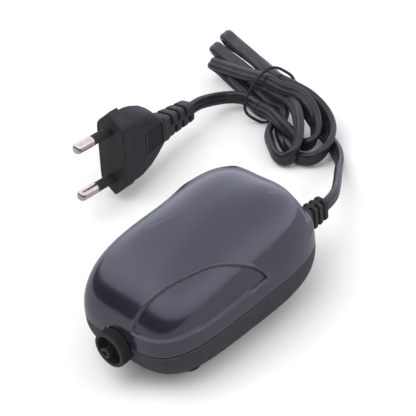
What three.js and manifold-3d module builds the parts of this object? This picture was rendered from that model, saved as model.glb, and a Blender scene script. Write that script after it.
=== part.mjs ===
// Aquarium air pump: a small electromagnetic diaphragm pump with a mains cord and a two-pin plug.
// Millimetres, +Z up; the air outlet faces -Y and the cord leaves at +Y. Heights in this file are measured
// from the floor under the feet; add() moves every piece so that the origin of the finished part is the
// middle of the casing's flat underside.
import * as THREE from 'three';
import { mergeVertices } from 'three/addons/utils/BufferGeometryUtils.js';
import Module from 'manifold-3d';

const wasm = await Module();
wasm.setup();

// ---- driving dimensions ---------------------------------------------------------------------
const GAP = 0.3;                 // between a piece and the neighbour it rests on
const SEGMENTS = 12;             // sides of a small round piece

const CASE_HALF_LENGTH = 40.6;
const CASE_HALF_WIDTH = 24.5;
const CASE_FRONT_POWER = 4.2;    // superellipse powers of the plan, front and rear
const CASE_REAR_POWER = 3.4;
const SEAM_Z = 16.8;             // height of the parting plane at mid length
const SEAM_SLOPE = 0.02;         // the parting plane rises towards the rear
const COVER_HEIGHT = 27.7;
const COVER_POWER = 2.4;         // roundness of the cover in side view
const COVER_TILT = 0.1;          // the cover is higher towards the rear
const BASE_BOTTOM_Z = 2.6;
const BASE_INSET = 0.46;         // how far the base tucks in at its underside
const BASE_POWER = 2.7;
const WALL = 2.0;
const CASE_SEGMENTS = 28;
const FLOOR_START = 0.8;         // share of the lower rings that form the wall, not the floor
const QUARTER = Math.PI / 2;
const CASE_RINGS = 12;

const PANEL_CENTRE_Y = -17.4;    // the shallow side panels of the cover
const PANEL_HALF_LENGTH = 22.8;
const PANEL_HEIGHT = 14.7;
const PANEL_BOTTOM_Z = 23.5;
const PANEL_POWER = 1.7;
const PANEL_DEPTH = 0.7;

const OUTLET_Z = 14.2;
const KNOB_FRONT_Y = -44.6;
const KNOB_RADIUS = 6.4;
const KNOB_REAR_Y = -40.85;
const NECK_RADIUS = 4.6;
const NOZZLE_RADIUS = 2.4;
const NOZZLE_BORE = 1.05;
const NOZZLE_TIP_Y = -46.2;
const PLATE_Y = -36.6;           // middle of the square plate that anchors the nozzle
const PLATE_SIZE = 11;
const PLATE_THICKNESS = 1.4;
const FLANGE_RADIUS = 5.3;       // snap flange behind the front wall
const FLANGE_FRONT_Y = -38.3;
const HOSE_Y = -32.6;
const HOSE_RADIUS = 3;
const HOSE_BORE = 2.2;
const BARB_RADIUS = 2.0;
const HOSE_BEND = 4;

const DRIVE_Z = 21;              // height of the arm, diaphragm and magnet centre line
const ARM_X = 5.5;
const ARM_THICKNESS = 2.5;
const ARM_HEIGHT = 8;
const PIVOT_Y = -30.4;
const BUSH_RADIUS = 2.9;
const PIN_RADIUS = 1.3;

const CHAMBER_Y = -16.5;
const CHAMBER_SIZE = 20.4;
const CHAMBER_FRONT = CHAMBER_Y - CHAMBER_SIZE / 2;
const CHAMBER_LOW = DRIVE_Z - CHAMBER_SIZE / 2;
const CHAMBER_LEFT_X = -15.6;
const BASE_BLOCK_RIGHT_X = -9.6;
const PLATE_RIGHT_X = -7.3;
const CUP_RIGHT_X = -2.6;
const CLAMP_RIGHT_X = 0.1;
const CAVITY_RADIUS = 7.6;
const SCREW_OFFSET = 8.2;        // chamber screws from the chamber centre line
const VALVE_OFFSET = 3.2;        // valve holes above and below the centre line
const STUB_X = -12.6;
const PIVOT_TOP = 26.6;
const VALVE_THICKNESS = 0.7;
const INTAKE_HINGE_Z = DRIVE_Z + 6.6;
const EXHAUST_HINGE_Z = DRIVE_Z - 6.6;
const DIAPHRAGM_THICKNESS = 0.8;
const ARM_END_Y = 1.9;
const MAGNET_SCREW_Y = -2.5;
const MAGNET_HALF_WIDTH = 4.2;
const MAGNET_HALF_HEIGHT = 5.4;
const MAGNET_FRONT_Y = 4.6;

const CORE_FRONT_Y = 10.5;
const CORE_REAR_Y = 27.8;
const CORE_HALF_WIDTH = 11.5;
const CORE_STACK = 12;
const CORE_LEG = 3.5;
const CORE_CENTRE_LEG = 6;
const CORE_BACK = 4;
const CORE_SCREW_Y = 25.8;
const CORE_BOSS_TOP = 14.7;
const CORE_SCREW_PLACES = [
  ['left', ARM_X - CORE_HALF_WIDTH + CORE_LEG / 2],
  ['right', ARM_X + CORE_HALF_WIDTH - CORE_LEG / 2],
];
const COIL_FRONT_Y = 12.3;
const COIL_REAR_Y = 23.4;

const FOOT_X = 13.1;
const FOOT_FRONT_Y = -22.5;
const FOOT_REAR_Y = 21.2;
const FOOT_RADIUS = 4;
const FILTER_RADIUS = 6.7;

const FRONT_SCREW = [19, -17];   // case screws, mirrored to the other side
const REAR_SCREW = [14, 31.5];
const CASE_SCREW_RADIUS = 1.2;

const CORD_X = 7;
const CORD_Z = 16.3;
const CORD_HEIGHT = 5.2;
const CORD_WIDTH = 3;
const BOOT_END_Y = 52.5;

const PLUG_FACE = new THREE.Vector3(-72.6, 27.2, 18.9);
const PLUG_PIN_DIRECTION = new THREE.Vector3(0.122, -0.979, 0.162).normalize();
const PLUG_DOWN = new THREE.Vector3(0.103, -0.15, -0.983);
const PLUG_LENGTH = 33;
const PLUG_THICKNESS = 12.6;
const PLUG_DEPTH = 26.7;         // from the face to the bend relief
const PLUG_RELIEF = 19.3;
const PIN_SPACING = 18.6;
const PLUG_PIN_RADIUS = 2;
const SLEEVE_LENGTH = 10;
const PLUG_PIN_LENGTH = 19;

const TIE_CENTRE = new THREE.Vector3(-58.6, 99.4, 10);   // middle of the bundle under the tie
const HANK_TURN = -0.31;         // direction of the folded cord about Z, radians
const STACK_TILT = 48;           // lean of the flat strands under the tie above level, degrees
const TIE_HALF_WIDE = 11;
const TIE_HALF_DEEP = 7.2;
const TIE_POWER = 3;             // roundness of the tie, from 2 for an ellipse upwards
const TIE_SLIP = 5;              // the near side of the tie slips this far towards the folds

// ---- solid helpers --------------------------------------------------------------------------
// Positions only, shared vertices merged, slivers dropped, faces outward.
function closed(geometry) {
  const bare = geometry.clone();
  for (const name of Object.keys(bare.attributes)) {
    if (name !== 'position') bare.deleteAttribute(name);
  }
  const merged = mergeVertices(bare, 1e-5);
  const index = merged.index.array;
  const kept = [];
  for (let i = 0; i < index.length; i += 3) {
    const [a, b, c] = [index[i], index[i + 1], index[i + 2]];
    if (a !== b && b !== c && c !== a) kept.push(a, b, c);
  }
  if (signedVolume(merged.attributes.position, kept) < 0) kept.reverse();
  merged.setIndex(kept);
  merged.computeVertexNormals();
  return merged;
}

function signedVolume(position, index) {
  const [a, b, c] = [new THREE.Vector3(), new THREE.Vector3(), new THREE.Vector3()];
  let volume = 0;
  for (let i = 0; i < index.length; i += 3) {
    a.fromBufferAttribute(position, index[i]);
    b.fromBufferAttribute(position, index[i + 1]);
    c.fromBufferAttribute(position, index[i + 2]);
    volume += a.dot(b.cross(c)) / 6;
  }
  return volume;
}

function toSolid(geometry) {
  const mesh = closed(geometry);
  return new wasm.Manifold(new wasm.Mesh({
    numProp: 3,
    vertProperties: new Float32Array(mesh.attributes.position.array),
    triVerts: new Uint32Array(mesh.index.array),
  }));
}

function toGeometry(solid) {
  const mesh = solid.getMesh();
  const geometry = new THREE.BufferGeometry();
  const vertices = new Float32Array(mesh.vertProperties);
  geometry.setAttribute('position', new THREE.BufferAttribute(vertices, 3));
  geometry.setIndex(new THREE.BufferAttribute(new Uint32Array(mesh.triVerts), 1));
  geometry.computeVertexNormals();
  return geometry;
}

function join(first, ...others) {
  return toGeometry(others.reduce((sum, other) => sum.add(toSolid(other)), toSolid(first)));
}

function cut(first, ...others) {
  return toGeometry(others.reduce((rest, other) => rest.subtract(toSolid(other)), toSolid(first)));
}

function common(first, other) {
  return toGeometry(toSolid(first).intersect(toSolid(other)));
}

function box(x0, x1, y0, y1, z0, z1) {
  const geometry = new THREE.BoxGeometry(x1 - x0, y1 - y0, z1 - z0);
  return geometry.translate((x0 + x1) / 2, (y0 + y1) / 2, (z0 + z1) / 2);
}

// A closed profile of [radius, height] pairs turned about an axis through the point (a, b).
// axis 'z': (a, b) = (x, y). axis 'y': (a, b) = (x, z). axis 'x': (a, b) = (y, z).
function turned(profile, axis, a, b, segments = SEGMENTS) {
  const points = profile.map(([radius, height]) => new THREE.Vector2(radius, height));
  if (profile[0][0] > 0) points.push(points[0].clone());
  const geometry = new THREE.LatheGeometry(points, segments);
  if (axis === 'z') geometry.rotateX(Math.PI / 2).translate(a, b, 0);
  if (axis === 'y') geometry.translate(a, 0, b);
  if (axis === 'x') geometry.rotateZ(-Math.PI / 2).translate(0, a, b);
  return closed(geometry);
}

function disc(radius, from, to, axis, a, b, segments = SEGMENTS) {
  return turned([[0, from], [radius, from], [radius, to], [0, to]], axis, a, b, segments);
}

function ring(inner, outer, from, to, axis, a, b, segments = SEGMENTS) {
  const profile = [[inner, from], [outer, from], [outer, to], [inner, to]];
  return turned(profile, axis, a, b, segments);
}

// A screw with its head's outer face at headEnd, its tip at tipEnd, along the given axis.
function screw(headRadius, headHeight, shankRadius, headEnd, tipEnd, axis, a, b) {
  const direction = Math.sign(tipEnd - headEnd);
  const underHead = headEnd + direction * headHeight;
  const profile = [
    [0, headEnd],
    [headRadius * 0.85, headEnd],
    [headRadius, headEnd + direction * headHeight * 0.35],
    [headRadius, underHead],
    [shankRadius, underHead],
    [shankRadius, tipEnd - direction * shankRadius],
    [0, tipEnd],
  ];
  const depth = headHeight * 0.45;
  const from = direction > 0 ? headEnd - 1 : headEnd - depth;
  const to = direction > 0 ? headEnd + depth : headEnd + 1;
  const [long, short] = [headRadius * 0.7, headRadius * 0.22];
  const bars = [[long, short], [short, long]].map(
    ([halfA, halfB]) => bar(axis, from, to, a, b, halfA, halfB),
  );
  return cut(turned(profile, axis, a, b, 8), ...bars);
}

// A block along an axis whose middle line passes through (a, b), named as in turned().
function bar(axis, from, to, a, b, halfA, halfB) {
  if (axis === 'x') return box(from, to, a - halfA, a + halfA, b - halfB, b + halfB);
  if (axis === 'y') return box(a - halfA, a + halfA, from, to, b - halfB, b + halfB);
  return box(a - halfA, a + halfA, b - halfB, b + halfB, from, to);
}

// ---- casing ---------------------------------------------------------------------------------
function seamHeight(y) {
  return SEAM_Z + SEAM_SLOPE * y;
}

// The whole outer form of the casing, moved inward by `inset`: a sphere pulled into shape.
function casingForm(inset) {
  const geometry = new THREE.SphereGeometry(1, CASE_SEGMENTS, CASE_RINGS);
  const position = geometry.attributes.position;
  const halfWidth = CASE_HALF_WIDTH - inset;
  const halfLength = CASE_HALF_LENGTH - inset;
  for (let i = 0; i < position.count; i += 1) {
    const around = Math.atan2(position.getZ(i), position.getX(i));
    const power = Math.sin(around) < 0 ? CASE_FRONT_POWER : CASE_REAR_POWER;
    const across = Math.abs(Math.cos(around) / halfWidth) ** power;
    const along = Math.abs(Math.sin(around) / halfLength) ** power;
    const reach = (across + along) ** (-1 / power);
    const planX = reach * Math.cos(around);
    const planY = reach * Math.sin(around);
    const evenLatitude = Math.asin(THREE.MathUtils.clamp(position.getY(i), -1, 1));
    const latitude = evenLatitude > 0 ? QUARTER * (evenLatitude / QUARTER) ** 1.25 : evenLatitude;
    let shrink;
    let z;
    if (latitude >= 0) {
      const bulge = 2 / COVER_POWER;
      shrink = Math.max(Math.cos(latitude), 0) ** bulge;
      const tilt = 1 + COVER_TILT * (planY / halfLength) * shrink;
      const height = COVER_HEIGHT - inset;
      z = SEAM_Z + SEAM_SLOPE * planY * shrink + height * tilt * Math.sin(latitude) ** bulge;
    } else {
      const depth = Math.min(1, -latitude / QUARTER / FLOOR_START);
      const drop = Math.sin(depth * QUARTER);
      const tuck = BASE_INSET * (1 - (1 - drop ** BASE_POWER) ** (1 / BASE_POWER));
      const floor = Math.max(0, (-latitude / QUARTER - FLOOR_START) / (1 - FLOOR_START));
      shrink = (1 - tuck) * (1 - floor);
      z = seamHeight(planY) * (1 - drop) + (BASE_BOTTOM_Z + inset) * drop;
    }
    position.setXYZ(i, planX * shrink, planY * shrink, z);
  }
  return closed(geometry);
}

// All the space above (side 1) or below (side -1) the parting plane, with half its gap.
function beyondSeam(side) {
  const low = side > 0 ? -GAP / 2 : -60;
  const high = side > 0 ? 60 : GAP / 2;
  const half = box(-60, 60, -80, 80, low, high);
  half.rotateX(Math.atan(SEAM_SLOPE));
  return half.translate(0, 0, SEAM_Z);
}

// The arched outline of a side panel, as a block across the whole casing.
function panelBlock() {
  const outline = new THREE.Shape();
  const steps = 14;
  for (let i = 0; i <= steps; i += 1) {
    const along = -Math.cos((i / steps) * Math.PI);
    const rise = (1 - Math.abs(along) ** PANEL_POWER) ** (1 / PANEL_POWER);
    const y = PANEL_CENTRE_Y + PANEL_HALF_LENGTH * along;
    const z = PANEL_BOTTOM_Z + PANEL_HEIGHT * rise;
    if (i === 0) outline.moveTo(y, z);
    else outline.lineTo(y, z);
  }
  const block = new THREE.ExtrudeGeometry(outline, { depth: 120, bevelEnabled: false });
  block.translate(0, 0, -60);
  const yzOutline = new THREE.Matrix4().makeBasis(
    new THREE.Vector3(0, 1, 0),
    new THREE.Vector3(0, 0, 1),
    new THREE.Vector3(1, 0, 0),
  );
  return block.applyMatrix4(yzOutline);
}

// Four places mirrored about the middle plane: front pair and rear pair.
function cornerPlaces([frontX, frontY], [rearX, rearY]) {
  return [
    ['front_left', -frontX, frontY],
    ['front_right', frontX, frontY],
    ['rear_left', -rearX, rearY],
    ['rear_right', rearX, rearY],
  ];
}

const SCREW_PLACES = cornerPlaces(FRONT_SCREW, REAR_SCREW);
const FOOT_PLACES = cornerPlaces([FOOT_X, FOOT_FRONT_Y], [FOOT_X, FOOT_REAR_Y]);

// Openings that both shells share: the knob's neck in front, the boot's neck behind.
function endOpenings() {
  const half = PLATE_SIZE / 2 + GAP;
  const slotFront = PLATE_Y - PLATE_THICKNESS / 2 - GAP;
  return [
    disc(NECK_RADIUS + 0.25, -60, -34, 'y', 0, OUTLET_Z),
    disc(FLANGE_RADIUS + 0.4, FLANGE_FRONT_Y - 0.15, -34, 'y', 0, OUTLET_Z),
    box(-half, half, slotFront, -34, OUTLET_Z - half, OUTLET_Z + half),
    box(CORD_X - 3.2, CORD_X + 3.2, 35, 60, CORD_Z - 5.2, CORD_Z + 5.2),
    box(CORD_X - 4.8, CORD_X + 4.8, 35, 37.9, CORD_Z - 6.2, CORD_Z + 6.2),
  ];
}

function topCover() {
  const shell = cut(casingForm(0), casingForm(WALL), beyondSeam(-1));
  const posts = SCREW_PLACES.map(([, x, y]) => disc(3, 0, 50, 'z', x, y, 10));
  const bosses = cut(common(join(...posts), casingForm(WALL / 2)), beyondSeam(-1));
  const pilots = SCREW_PLACES.map(([, x, y]) => disc(CASE_SCREW_RADIUS + 0.2, 0, 26, 'z', x, y, 10));
  const panel = cut(panelBlock(), casingForm(PANEL_DEPTH));
  return cut(join(shell, bosses), ...pilots, panel, ...endOpenings());
}

function baseShell() {
  const shell = cut(casingForm(0), casingForm(WALL), beyondSeam(1));
  const inside = [
    ...SCREW_PLACES.map(([, x, y]) => disc(3.2, 0, 30, 'z', x, y, 10)),
    ...CORE_SCREW_PLACES.map(([, x]) => disc(3, 3, CORE_BOSS_TOP, 'z', x, CORE_SCREW_Y, 10)),
    box(CHAMBER_LEFT_X + 1, CHAMBER_LEFT_X + 2.6, CHAMBER_Y - 8, CHAMBER_Y + 8, 3, CHAMBER_LOW - GAP),
    box(-4, -2.4, CHAMBER_Y - 8, CHAMBER_Y + 8, 3, CHAMBER_LOW - GAP),
    disc(2.7, 3, DRIVE_Z - ARM_HEIGHT / 2 - GAP, 'z', ARM_X, PIVOT_Y, 10),
    disc(PIN_RADIUS, 3, PIVOT_TOP, 'z', ARM_X, PIVOT_Y),
    disc(FILTER_RADIUS + 1.8, 3, 6.6, 'z', 0, 0),
    box(CORD_X - 3.2, CORD_X + 3.2, 31, 35, 3, CORD_Z - CORD_HEIGHT / 2 - GAP),
  ];
  const fittings = cut(common(join(...inside), casingForm(WALL / 2)), beyondSeam(1));
  const tallPin = disc(PIN_RADIUS, 12, PIVOT_TOP, 'z', ARM_X, PIVOT_Y);
  const footBosses = FOOT_PLACES.map(([, x, y]) => disc(4.4, BASE_BOTTOM_Z, 4.9, 'z', x, y));
  const holes = [
    ...SCREW_PLACES.map(([, x, y]) => disc(2.6, -1, 8.1, 'z', x, y)),
    ...SCREW_PLACES.map(([, x, y]) => disc(CASE_SCREW_RADIUS + 0.3, 0, 20, 'z', x, y, 10)),
    ...FOOT_PLACES.map(([, x, y]) => disc(1.9, 0, 8, 'z', x, y, 10)),
    ...FOOT_PLACES.map(([, x, y]) => disc(2.8, 4.9, 9, 'z', x, y, 10)),
    ...CORE_SCREW_PLACES.map(([, x]) => disc(1.4, 6.5, 20, 'z', x, CORE_SCREW_Y, 10)),
    disc(FILTER_RADIUS + 0.5, 0, 5.4, 'z', 0, 0),
    disc(0.9, 4, 8, 'z', 0, 0, 8),
  ];
  for (let i = 0; i < 6; i += 1) {
    const angle = (i * Math.PI) / 3;
    holes.push(disc(0.9, 4, 8, 'z', 3.6 * Math.cos(angle), 3.6 * Math.sin(angle), 8));
  }
  return cut(join(shell, fittings, tallPin, ...footBosses), ...holes, ...endOpenings());
}

function foot([, x, y]) {
  const profile = [[0, 0], [3.3, 0], [FOOT_RADIUS, 0.7], [FOOT_RADIUS, 2.3], [1.6, 2.3],
    [1.6, 5.2], [2.3, 5.2], [1.8, 6.2], [0, 6.2]];
  return turned(profile, 'z', x, y);
}

function caseScrew([, x, y]) {
  return screw(2.2, 1.5, CASE_SCREW_RADIUS, 6.3, 24, 'z', x, y);
}

function filterFelt() {
  return disc(FILTER_RADIUS, 3.9, 5.1, 'z', 0, 0);
}

function filterCap() {
  const plate = disc(FILTER_RADIUS + 0.2, BASE_BOTTOM_Z, 3.6, 'z', 0, 0);
  const slots = [-4.3, -1.9, 1.9, 4.3].map((y) => box(-4, 4, y - 0.5, y + 0.5, 0, 6));
  return cut(plate, ...slots);
}

// ---- outlet ---------------------------------------------------------------------------------
function flowKnob() {
  const profile = [
    [5, KNOB_FRONT_Y],
    [5.9, KNOB_FRONT_Y],
    [KNOB_RADIUS, KNOB_FRONT_Y + 0.5],
    [KNOB_RADIUS, KNOB_REAR_Y],
    [NECK_RADIUS, KNOB_REAR_Y],
    [NECK_RADIUS, FLANGE_FRONT_Y],
    [FLANGE_RADIUS, FLANGE_FRONT_Y],
    [FLANGE_RADIUS, FLANGE_FRONT_Y + 0.6],
    [3.9, FLANGE_FRONT_Y + 0.6],
    [3.9, -39.6],
    [NOZZLE_RADIUS + 0.25, -39.6],
    [NOZZLE_RADIUS + 0.25, KNOB_REAR_Y - 1.1],
    [5, KNOB_REAR_Y - 1.1],
  ];
  const mark = box(-0.4, 0.4, KNOB_FRONT_Y - 1, KNOB_FRONT_Y + 0.5, OUTLET_Z + 5.3, OUTLET_Z + 8);
  return cut(turned(profile, 'y', 0, OUTLET_Z, 20), mark);
}

function outletNozzle() {
  const half = PLATE_SIZE / 2;
  const plateFront = PLATE_Y - PLATE_THICKNESS / 2;
  const plateRear = PLATE_Y + PLATE_THICKNESS / 2;
  const stem = turned([[0, NOZZLE_TIP_Y], [NOZZLE_RADIUS - 0.5, NOZZLE_TIP_Y],
    [NOZZLE_RADIUS, NOZZLE_TIP_Y + 0.6], [NOZZLE_RADIUS, PLATE_Y], [0, PLATE_Y]], 'y', 0, OUTLET_Z);
  const plate = box(-half, half, plateFront, plateRear, OUTLET_Z - half, OUTLET_Z + half);
  const elbow = box(-2.2, 2.2, PLATE_Y, HOSE_Y + 2.1, OUTLET_Z - 2.2, OUTLET_Z + 2.2);
  const barb = disc(BARB_RADIUS, -6.8, 0, 'x', HOSE_Y, OUTLET_Z);
  const bores = [
    disc(NOZZLE_BORE, NOZZLE_TIP_Y - 1, HOSE_Y, 'y', 0, OUTLET_Z, 10),
    disc(NOZZLE_BORE, -8, 0.6, 'x', HOSE_Y, OUTLET_Z, 10),
  ];
  return cut(join(stem, plate, elbow, barb), ...bores);
}

function outletORing() {
  const geometry = new THREE.TorusGeometry(3.2, 0.5, 6, 16);
  geometry.rotateX(Math.PI / 2);
  return closed(geometry.translate(0, -38.9, OUTLET_Z));
}

function outletHose() {
  const path = new THREE.CurvePath();
  const z = OUTLET_Z;
  const bend = new THREE.Vector3(STUB_X, HOSE_Y, z);
  const before = new THREE.Vector3(STUB_X + HOSE_BEND, HOSE_Y, z);
  const after = new THREE.Vector3(STUB_X, HOSE_Y + HOSE_BEND, z);
  path.add(new THREE.LineCurve3(new THREE.Vector3(-2.6, HOSE_Y, z), before));
  path.add(new THREE.QuadraticBezierCurve3(before, bend, after));
  path.add(new THREE.LineCurve3(after, new THREE.Vector3(STUB_X, CHAMBER_FRONT - GAP, z)));
  const section = new THREE.Shape().absarc(0, 0, HOSE_RADIUS, 0, Math.PI * 2);
  section.holes.push(new THREE.Path().absarc(0, 0, HOSE_BORE, 0, Math.PI * 2, true));
  const options = { steps: 9, curveSegments: 5, extrudePath: path, bevelEnabled: false };
  return closed(new THREE.ExtrudeGeometry(section, options));
}

// ---- compressor -----------------------------------------------------------------------------
// The four screw lines at the corners of the chamber stack, as [y, z].
const CHAMBER_SCREW_LINES = [
  ['front_low', CHAMBER_Y - SCREW_OFFSET, DRIVE_Z - SCREW_OFFSET],
  ['front_high', CHAMBER_Y - SCREW_OFFSET, DRIVE_Z + SCREW_OFFSET],
  ['rear_low', CHAMBER_Y + SCREW_OFFSET, DRIVE_Z - SCREW_OFFSET],
  ['rear_high', CHAMBER_Y + SCREW_OFFSET, DRIVE_Z + SCREW_OFFSET],
];

function chamberSlab(x0, x1) {
  const half = CHAMBER_SIZE / 2;
  return box(x0, x1, CHAMBER_Y - half, CHAMBER_Y + half, DRIVE_Z - half, DRIVE_Z + half);
}

function chamberScrewHoles(radius, x0, x1) {
  return CHAMBER_SCREW_LINES.map(([, y, z]) => disc(radius, x0, x1, 'x', y, z, 10));
}

function chamberBlock() {
  const right = BASE_BLOCK_RIGHT_X;
  const [y0, y1] = [CHAMBER_Y - 6.8, CHAMBER_Y + 6.8];
  const stub = disc(BARB_RADIUS, CHAMBER_FRONT - 2.6, CHAMBER_FRONT + 1, 'y', STUB_X, OUTLET_Z);
  const outletRoom = box(CHAMBER_LEFT_X + 2, right + 1, y0, y1, DRIVE_Z - 7.2, DRIVE_Z - 1.2);
  const inletRoom = box(CHAMBER_LEFT_X + 2, right + 1, y0, y1, DRIVE_Z + 1.2, DRIVE_Z + 7.2);
  const outletBore = disc(NOZZLE_BORE, CHAMBER_FRONT - 4, y0 + 1, 'y', STUB_X, OUTLET_Z, 10);
  const inletPort = disc(1.6, CHAMBER_LEFT_X - 1, CHAMBER_LEFT_X + 3, 'x', CHAMBER_Y, DRIVE_Z + 5, 10);
  const pilots = chamberScrewHoles(1, CHAMBER_LEFT_X + 1, right + 1);
  return cut(join(chamberSlab(CHAMBER_LEFT_X, right), stub), outletRoom, inletRoom, outletBore,
    inletPort, ...pilots);
}

function valvePlate() {
  const ports = [-VALVE_OFFSET, VALVE_OFFSET].map(
    (rise) => disc(1.6, -12, -5, 'x', CHAMBER_Y, DRIVE_Z + rise * 1.2, 10),
  );
  const slab = chamberSlab(BASE_BLOCK_RIGHT_X + GAP, PLATE_RIGHT_X);
  return cut(slab, ...ports, ...chamberScrewHoles(1.3, -12, -5));
}

function intakeValve() {
  return box(PLATE_RIGHT_X + GAP, PLATE_RIGHT_X + GAP + VALVE_THICKNESS, CHAMBER_Y - 2.6, CHAMBER_Y + 2.6,
    DRIVE_Z + 1.6, INTAKE_HINGE_Z);
}

function exhaustValve() {
  const face = BASE_BLOCK_RIGHT_X;
  return box(face - VALVE_THICKNESS, face, CHAMBER_Y - 2.6, CHAMBER_Y + 2.6, EXHAUST_HINGE_Z, DRIVE_Z - 1.6);
}

function chamberCup() {
  const cavity = disc(CAVITY_RADIUS, -12, 0, 'x', CHAMBER_Y, DRIVE_Z, 18);
  return cut(chamberSlab(PLATE_RIGHT_X + GAP, CUP_RIGHT_X), cavity, ...chamberScrewHoles(1.3, -12, 0));
}

function diaphragm() {
  const left = CUP_RIGHT_X + GAP;
  const right = left + DIAPHRAGM_THICKNESS;
  const profile = [[1.5, left], [4.8, left], [5.4, left - 1.1], [6.4, left - 1.1], [7, left], [9.6, left],
    [9.6, right], [6.6, right], [6.1, right - 1.1], [5.7, right - 1.1], [5.2, right], [1.5, right]];
  return turned(profile, 'x', CHAMBER_Y, DRIVE_Z, 18);
}

function diaphragmClamp() {
  const left = CUP_RIGHT_X + DIAPHRAGM_THICKNESS + 2 * GAP;
  const opening = disc(7.2, -4, 3, 'x', CHAMBER_Y, DRIVE_Z, 18);
  return cut(chamberSlab(left, CLAMP_RIGHT_X), opening, ...chamberScrewHoles(1.3, -4, 3));
}

function chamberScrew([, y, z]) {
  return screw(1.8, 1.2, 0.8, CLAMP_RIGHT_X + GAP + 1.2, -13.6, 'x', y, z);
}

function diaphragmPlate() {
  return ring(1.3, 4.2, CUP_RIGHT_X - 1.3, CUP_RIGHT_X, 'x', CHAMBER_Y, DRIVE_Z);
}

function diaphragmBoss() {
  const left = CUP_RIGHT_X + DIAPHRAGM_THICKNESS + 2 * GAP;
  const profile = [[1.3, left], [4.2, left], [4.2, left + 0.9], [2.2, left + 1.5],
    [2.2, ARM_X - ARM_THICKNESS / 2 - GAP], [1.3, ARM_X - ARM_THICKNESS / 2 - GAP]];
  return turned(profile, 'x', CHAMBER_Y, DRIVE_Z);
}

function diaphragmScrew() {
  const seat = ARM_X + ARM_THICKNESS / 2 + GAP;
  return screw(2.2, 1.4, 1, seat + 1.4, CUP_RIGHT_X - 1.1, 'x', CHAMBER_Y, DRIVE_Z);
}

// ---- arm ------------------------------------------------------------------------------------
function swingArm() {
  const [low, high] = [DRIVE_Z - ARM_HEIGHT / 2, DRIVE_Z + ARM_HEIGHT / 2];
  const [left, right] = [ARM_X - ARM_THICKNESS / 2, ARM_X + ARM_THICKNESS / 2];
  const eye = disc(4.4, low, high, 'z', ARM_X, PIVOT_Y);
  const bar = box(left, right, PIVOT_Y + 3, ARM_END_Y, low, high);
  const bore = disc(BUSH_RADIUS + 0.1, low - 1, high + 1, 'z', ARM_X, PIVOT_Y);
  const screwHole = disc(1.3, left - 1, right + 1, 'x', CHAMBER_Y, DRIVE_Z, 10);
  const magnetHole = disc(1.3, left - 1, right + 1, 'x', MAGNET_SCREW_Y, DRIVE_Z, 10);
  return cut(join(eye, bar), bore, screwHole, magnetHole);
}

function pivotBush() {
  return ring(PIN_RADIUS + 0.1, BUSH_RADIUS, DRIVE_Z - ARM_HEIGHT / 2, DRIVE_Z + ARM_HEIGHT / 2,
    'z', ARM_X, PIVOT_Y);
}

function pivotClip() {
  const bottom = DRIVE_Z + ARM_HEIGHT / 2 + GAP;
  return ring(PIN_RADIUS + 0.1, 3.4, bottom, bottom + 0.8, 'z', ARM_X, PIVOT_Y);
}

function magnetHolder() {
  const back = ARM_END_Y + GAP;
  const right = ARM_X + ARM_THICKNESS / 2 + GAP;
  const block = box(ARM_X - 5.2, ARM_X + 5.2, back, 8, DRIVE_Z - 6.4, DRIVE_Z + 6.4);
  const tab = box(right, right + 1.5, MAGNET_SCREW_Y - 3, back + 1, DRIVE_Z - 3, DRIVE_Z + 3);
  const [halfWidth, halfHeight] = [MAGNET_HALF_WIDTH + GAP, MAGNET_HALF_HEIGHT + GAP];
  const pocket = box(ARM_X - halfWidth, ARM_X + halfWidth, MAGNET_FRONT_Y - GAP, 10,
    DRIVE_Z - halfHeight, DRIVE_Z + halfHeight);
  const hole = disc(1.3, right - 1, right + 3, 'x', MAGNET_SCREW_Y, DRIVE_Z, 10);
  return cut(join(block, tab), pocket, hole);
}

function magnet() {
  return box(ARM_X - MAGNET_HALF_WIDTH, ARM_X + MAGNET_HALF_WIDTH, MAGNET_FRONT_Y, 9.5,
    DRIVE_Z - MAGNET_HALF_HEIGHT, DRIVE_Z + MAGNET_HALF_HEIGHT);
}

function magnetScrew() {
  const seat = ARM_X + ARM_THICKNESS / 2 + 2 * GAP + 1.5;
  return screw(2, 1.3, 1, seat + 1.3, ARM_X - 0.9, 'x', MAGNET_SCREW_Y, DRIVE_Z);
}

// ---- electromagnet --------------------------------------------------------------------------
function ironCore() {
  const [low, high] = [DRIVE_Z - CORE_STACK / 2, DRIVE_Z + CORE_STACK / 2];
  const windowInner = CORE_CENTRE_LEG / 2;
  const windowOuter = CORE_HALF_WIDTH - CORE_LEG;
  const block = box(ARM_X - CORE_HALF_WIDTH, ARM_X + CORE_HALF_WIDTH, CORE_FRONT_Y, CORE_REAR_Y, low, high);
  const windows = [-1, 1].map((side) => box(
    ARM_X + (side < 0 ? -windowOuter : windowInner),
    ARM_X + (side < 0 ? -windowInner : windowOuter),
    CORE_FRONT_Y - 1, CORE_REAR_Y - CORE_BACK, low - 1, high + 1,
  ));
  const holes = CORE_SCREW_PLACES.map(([, x]) => disc(1.4, low - 1, high + 1, 'z', x, CORE_SCREW_Y, 10));
  return cut(block, ...windows, ...holes);
}

// A rectangular frame around the centre leg, between y0 and y1.
function coilFrame(halfWidth, halfHeight, innerHalfWidth, innerHalfHeight, y0, y1, radius) {
  const outline = roundedRectangle(halfWidth, halfHeight, radius);
  const inner = roundedRectangle(innerHalfWidth, innerHalfHeight, Math.max(0.2, radius - 0.4));
  outline.holes.push(inner);
  const frame = new THREE.ExtrudeGeometry(outline, { depth: y1 - y0, bevelEnabled: false, curveSegments: 1 });
  frame.rotateX(Math.PI / 2).translate(ARM_X, y1, DRIVE_Z);
  return closed(frame);
}

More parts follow.
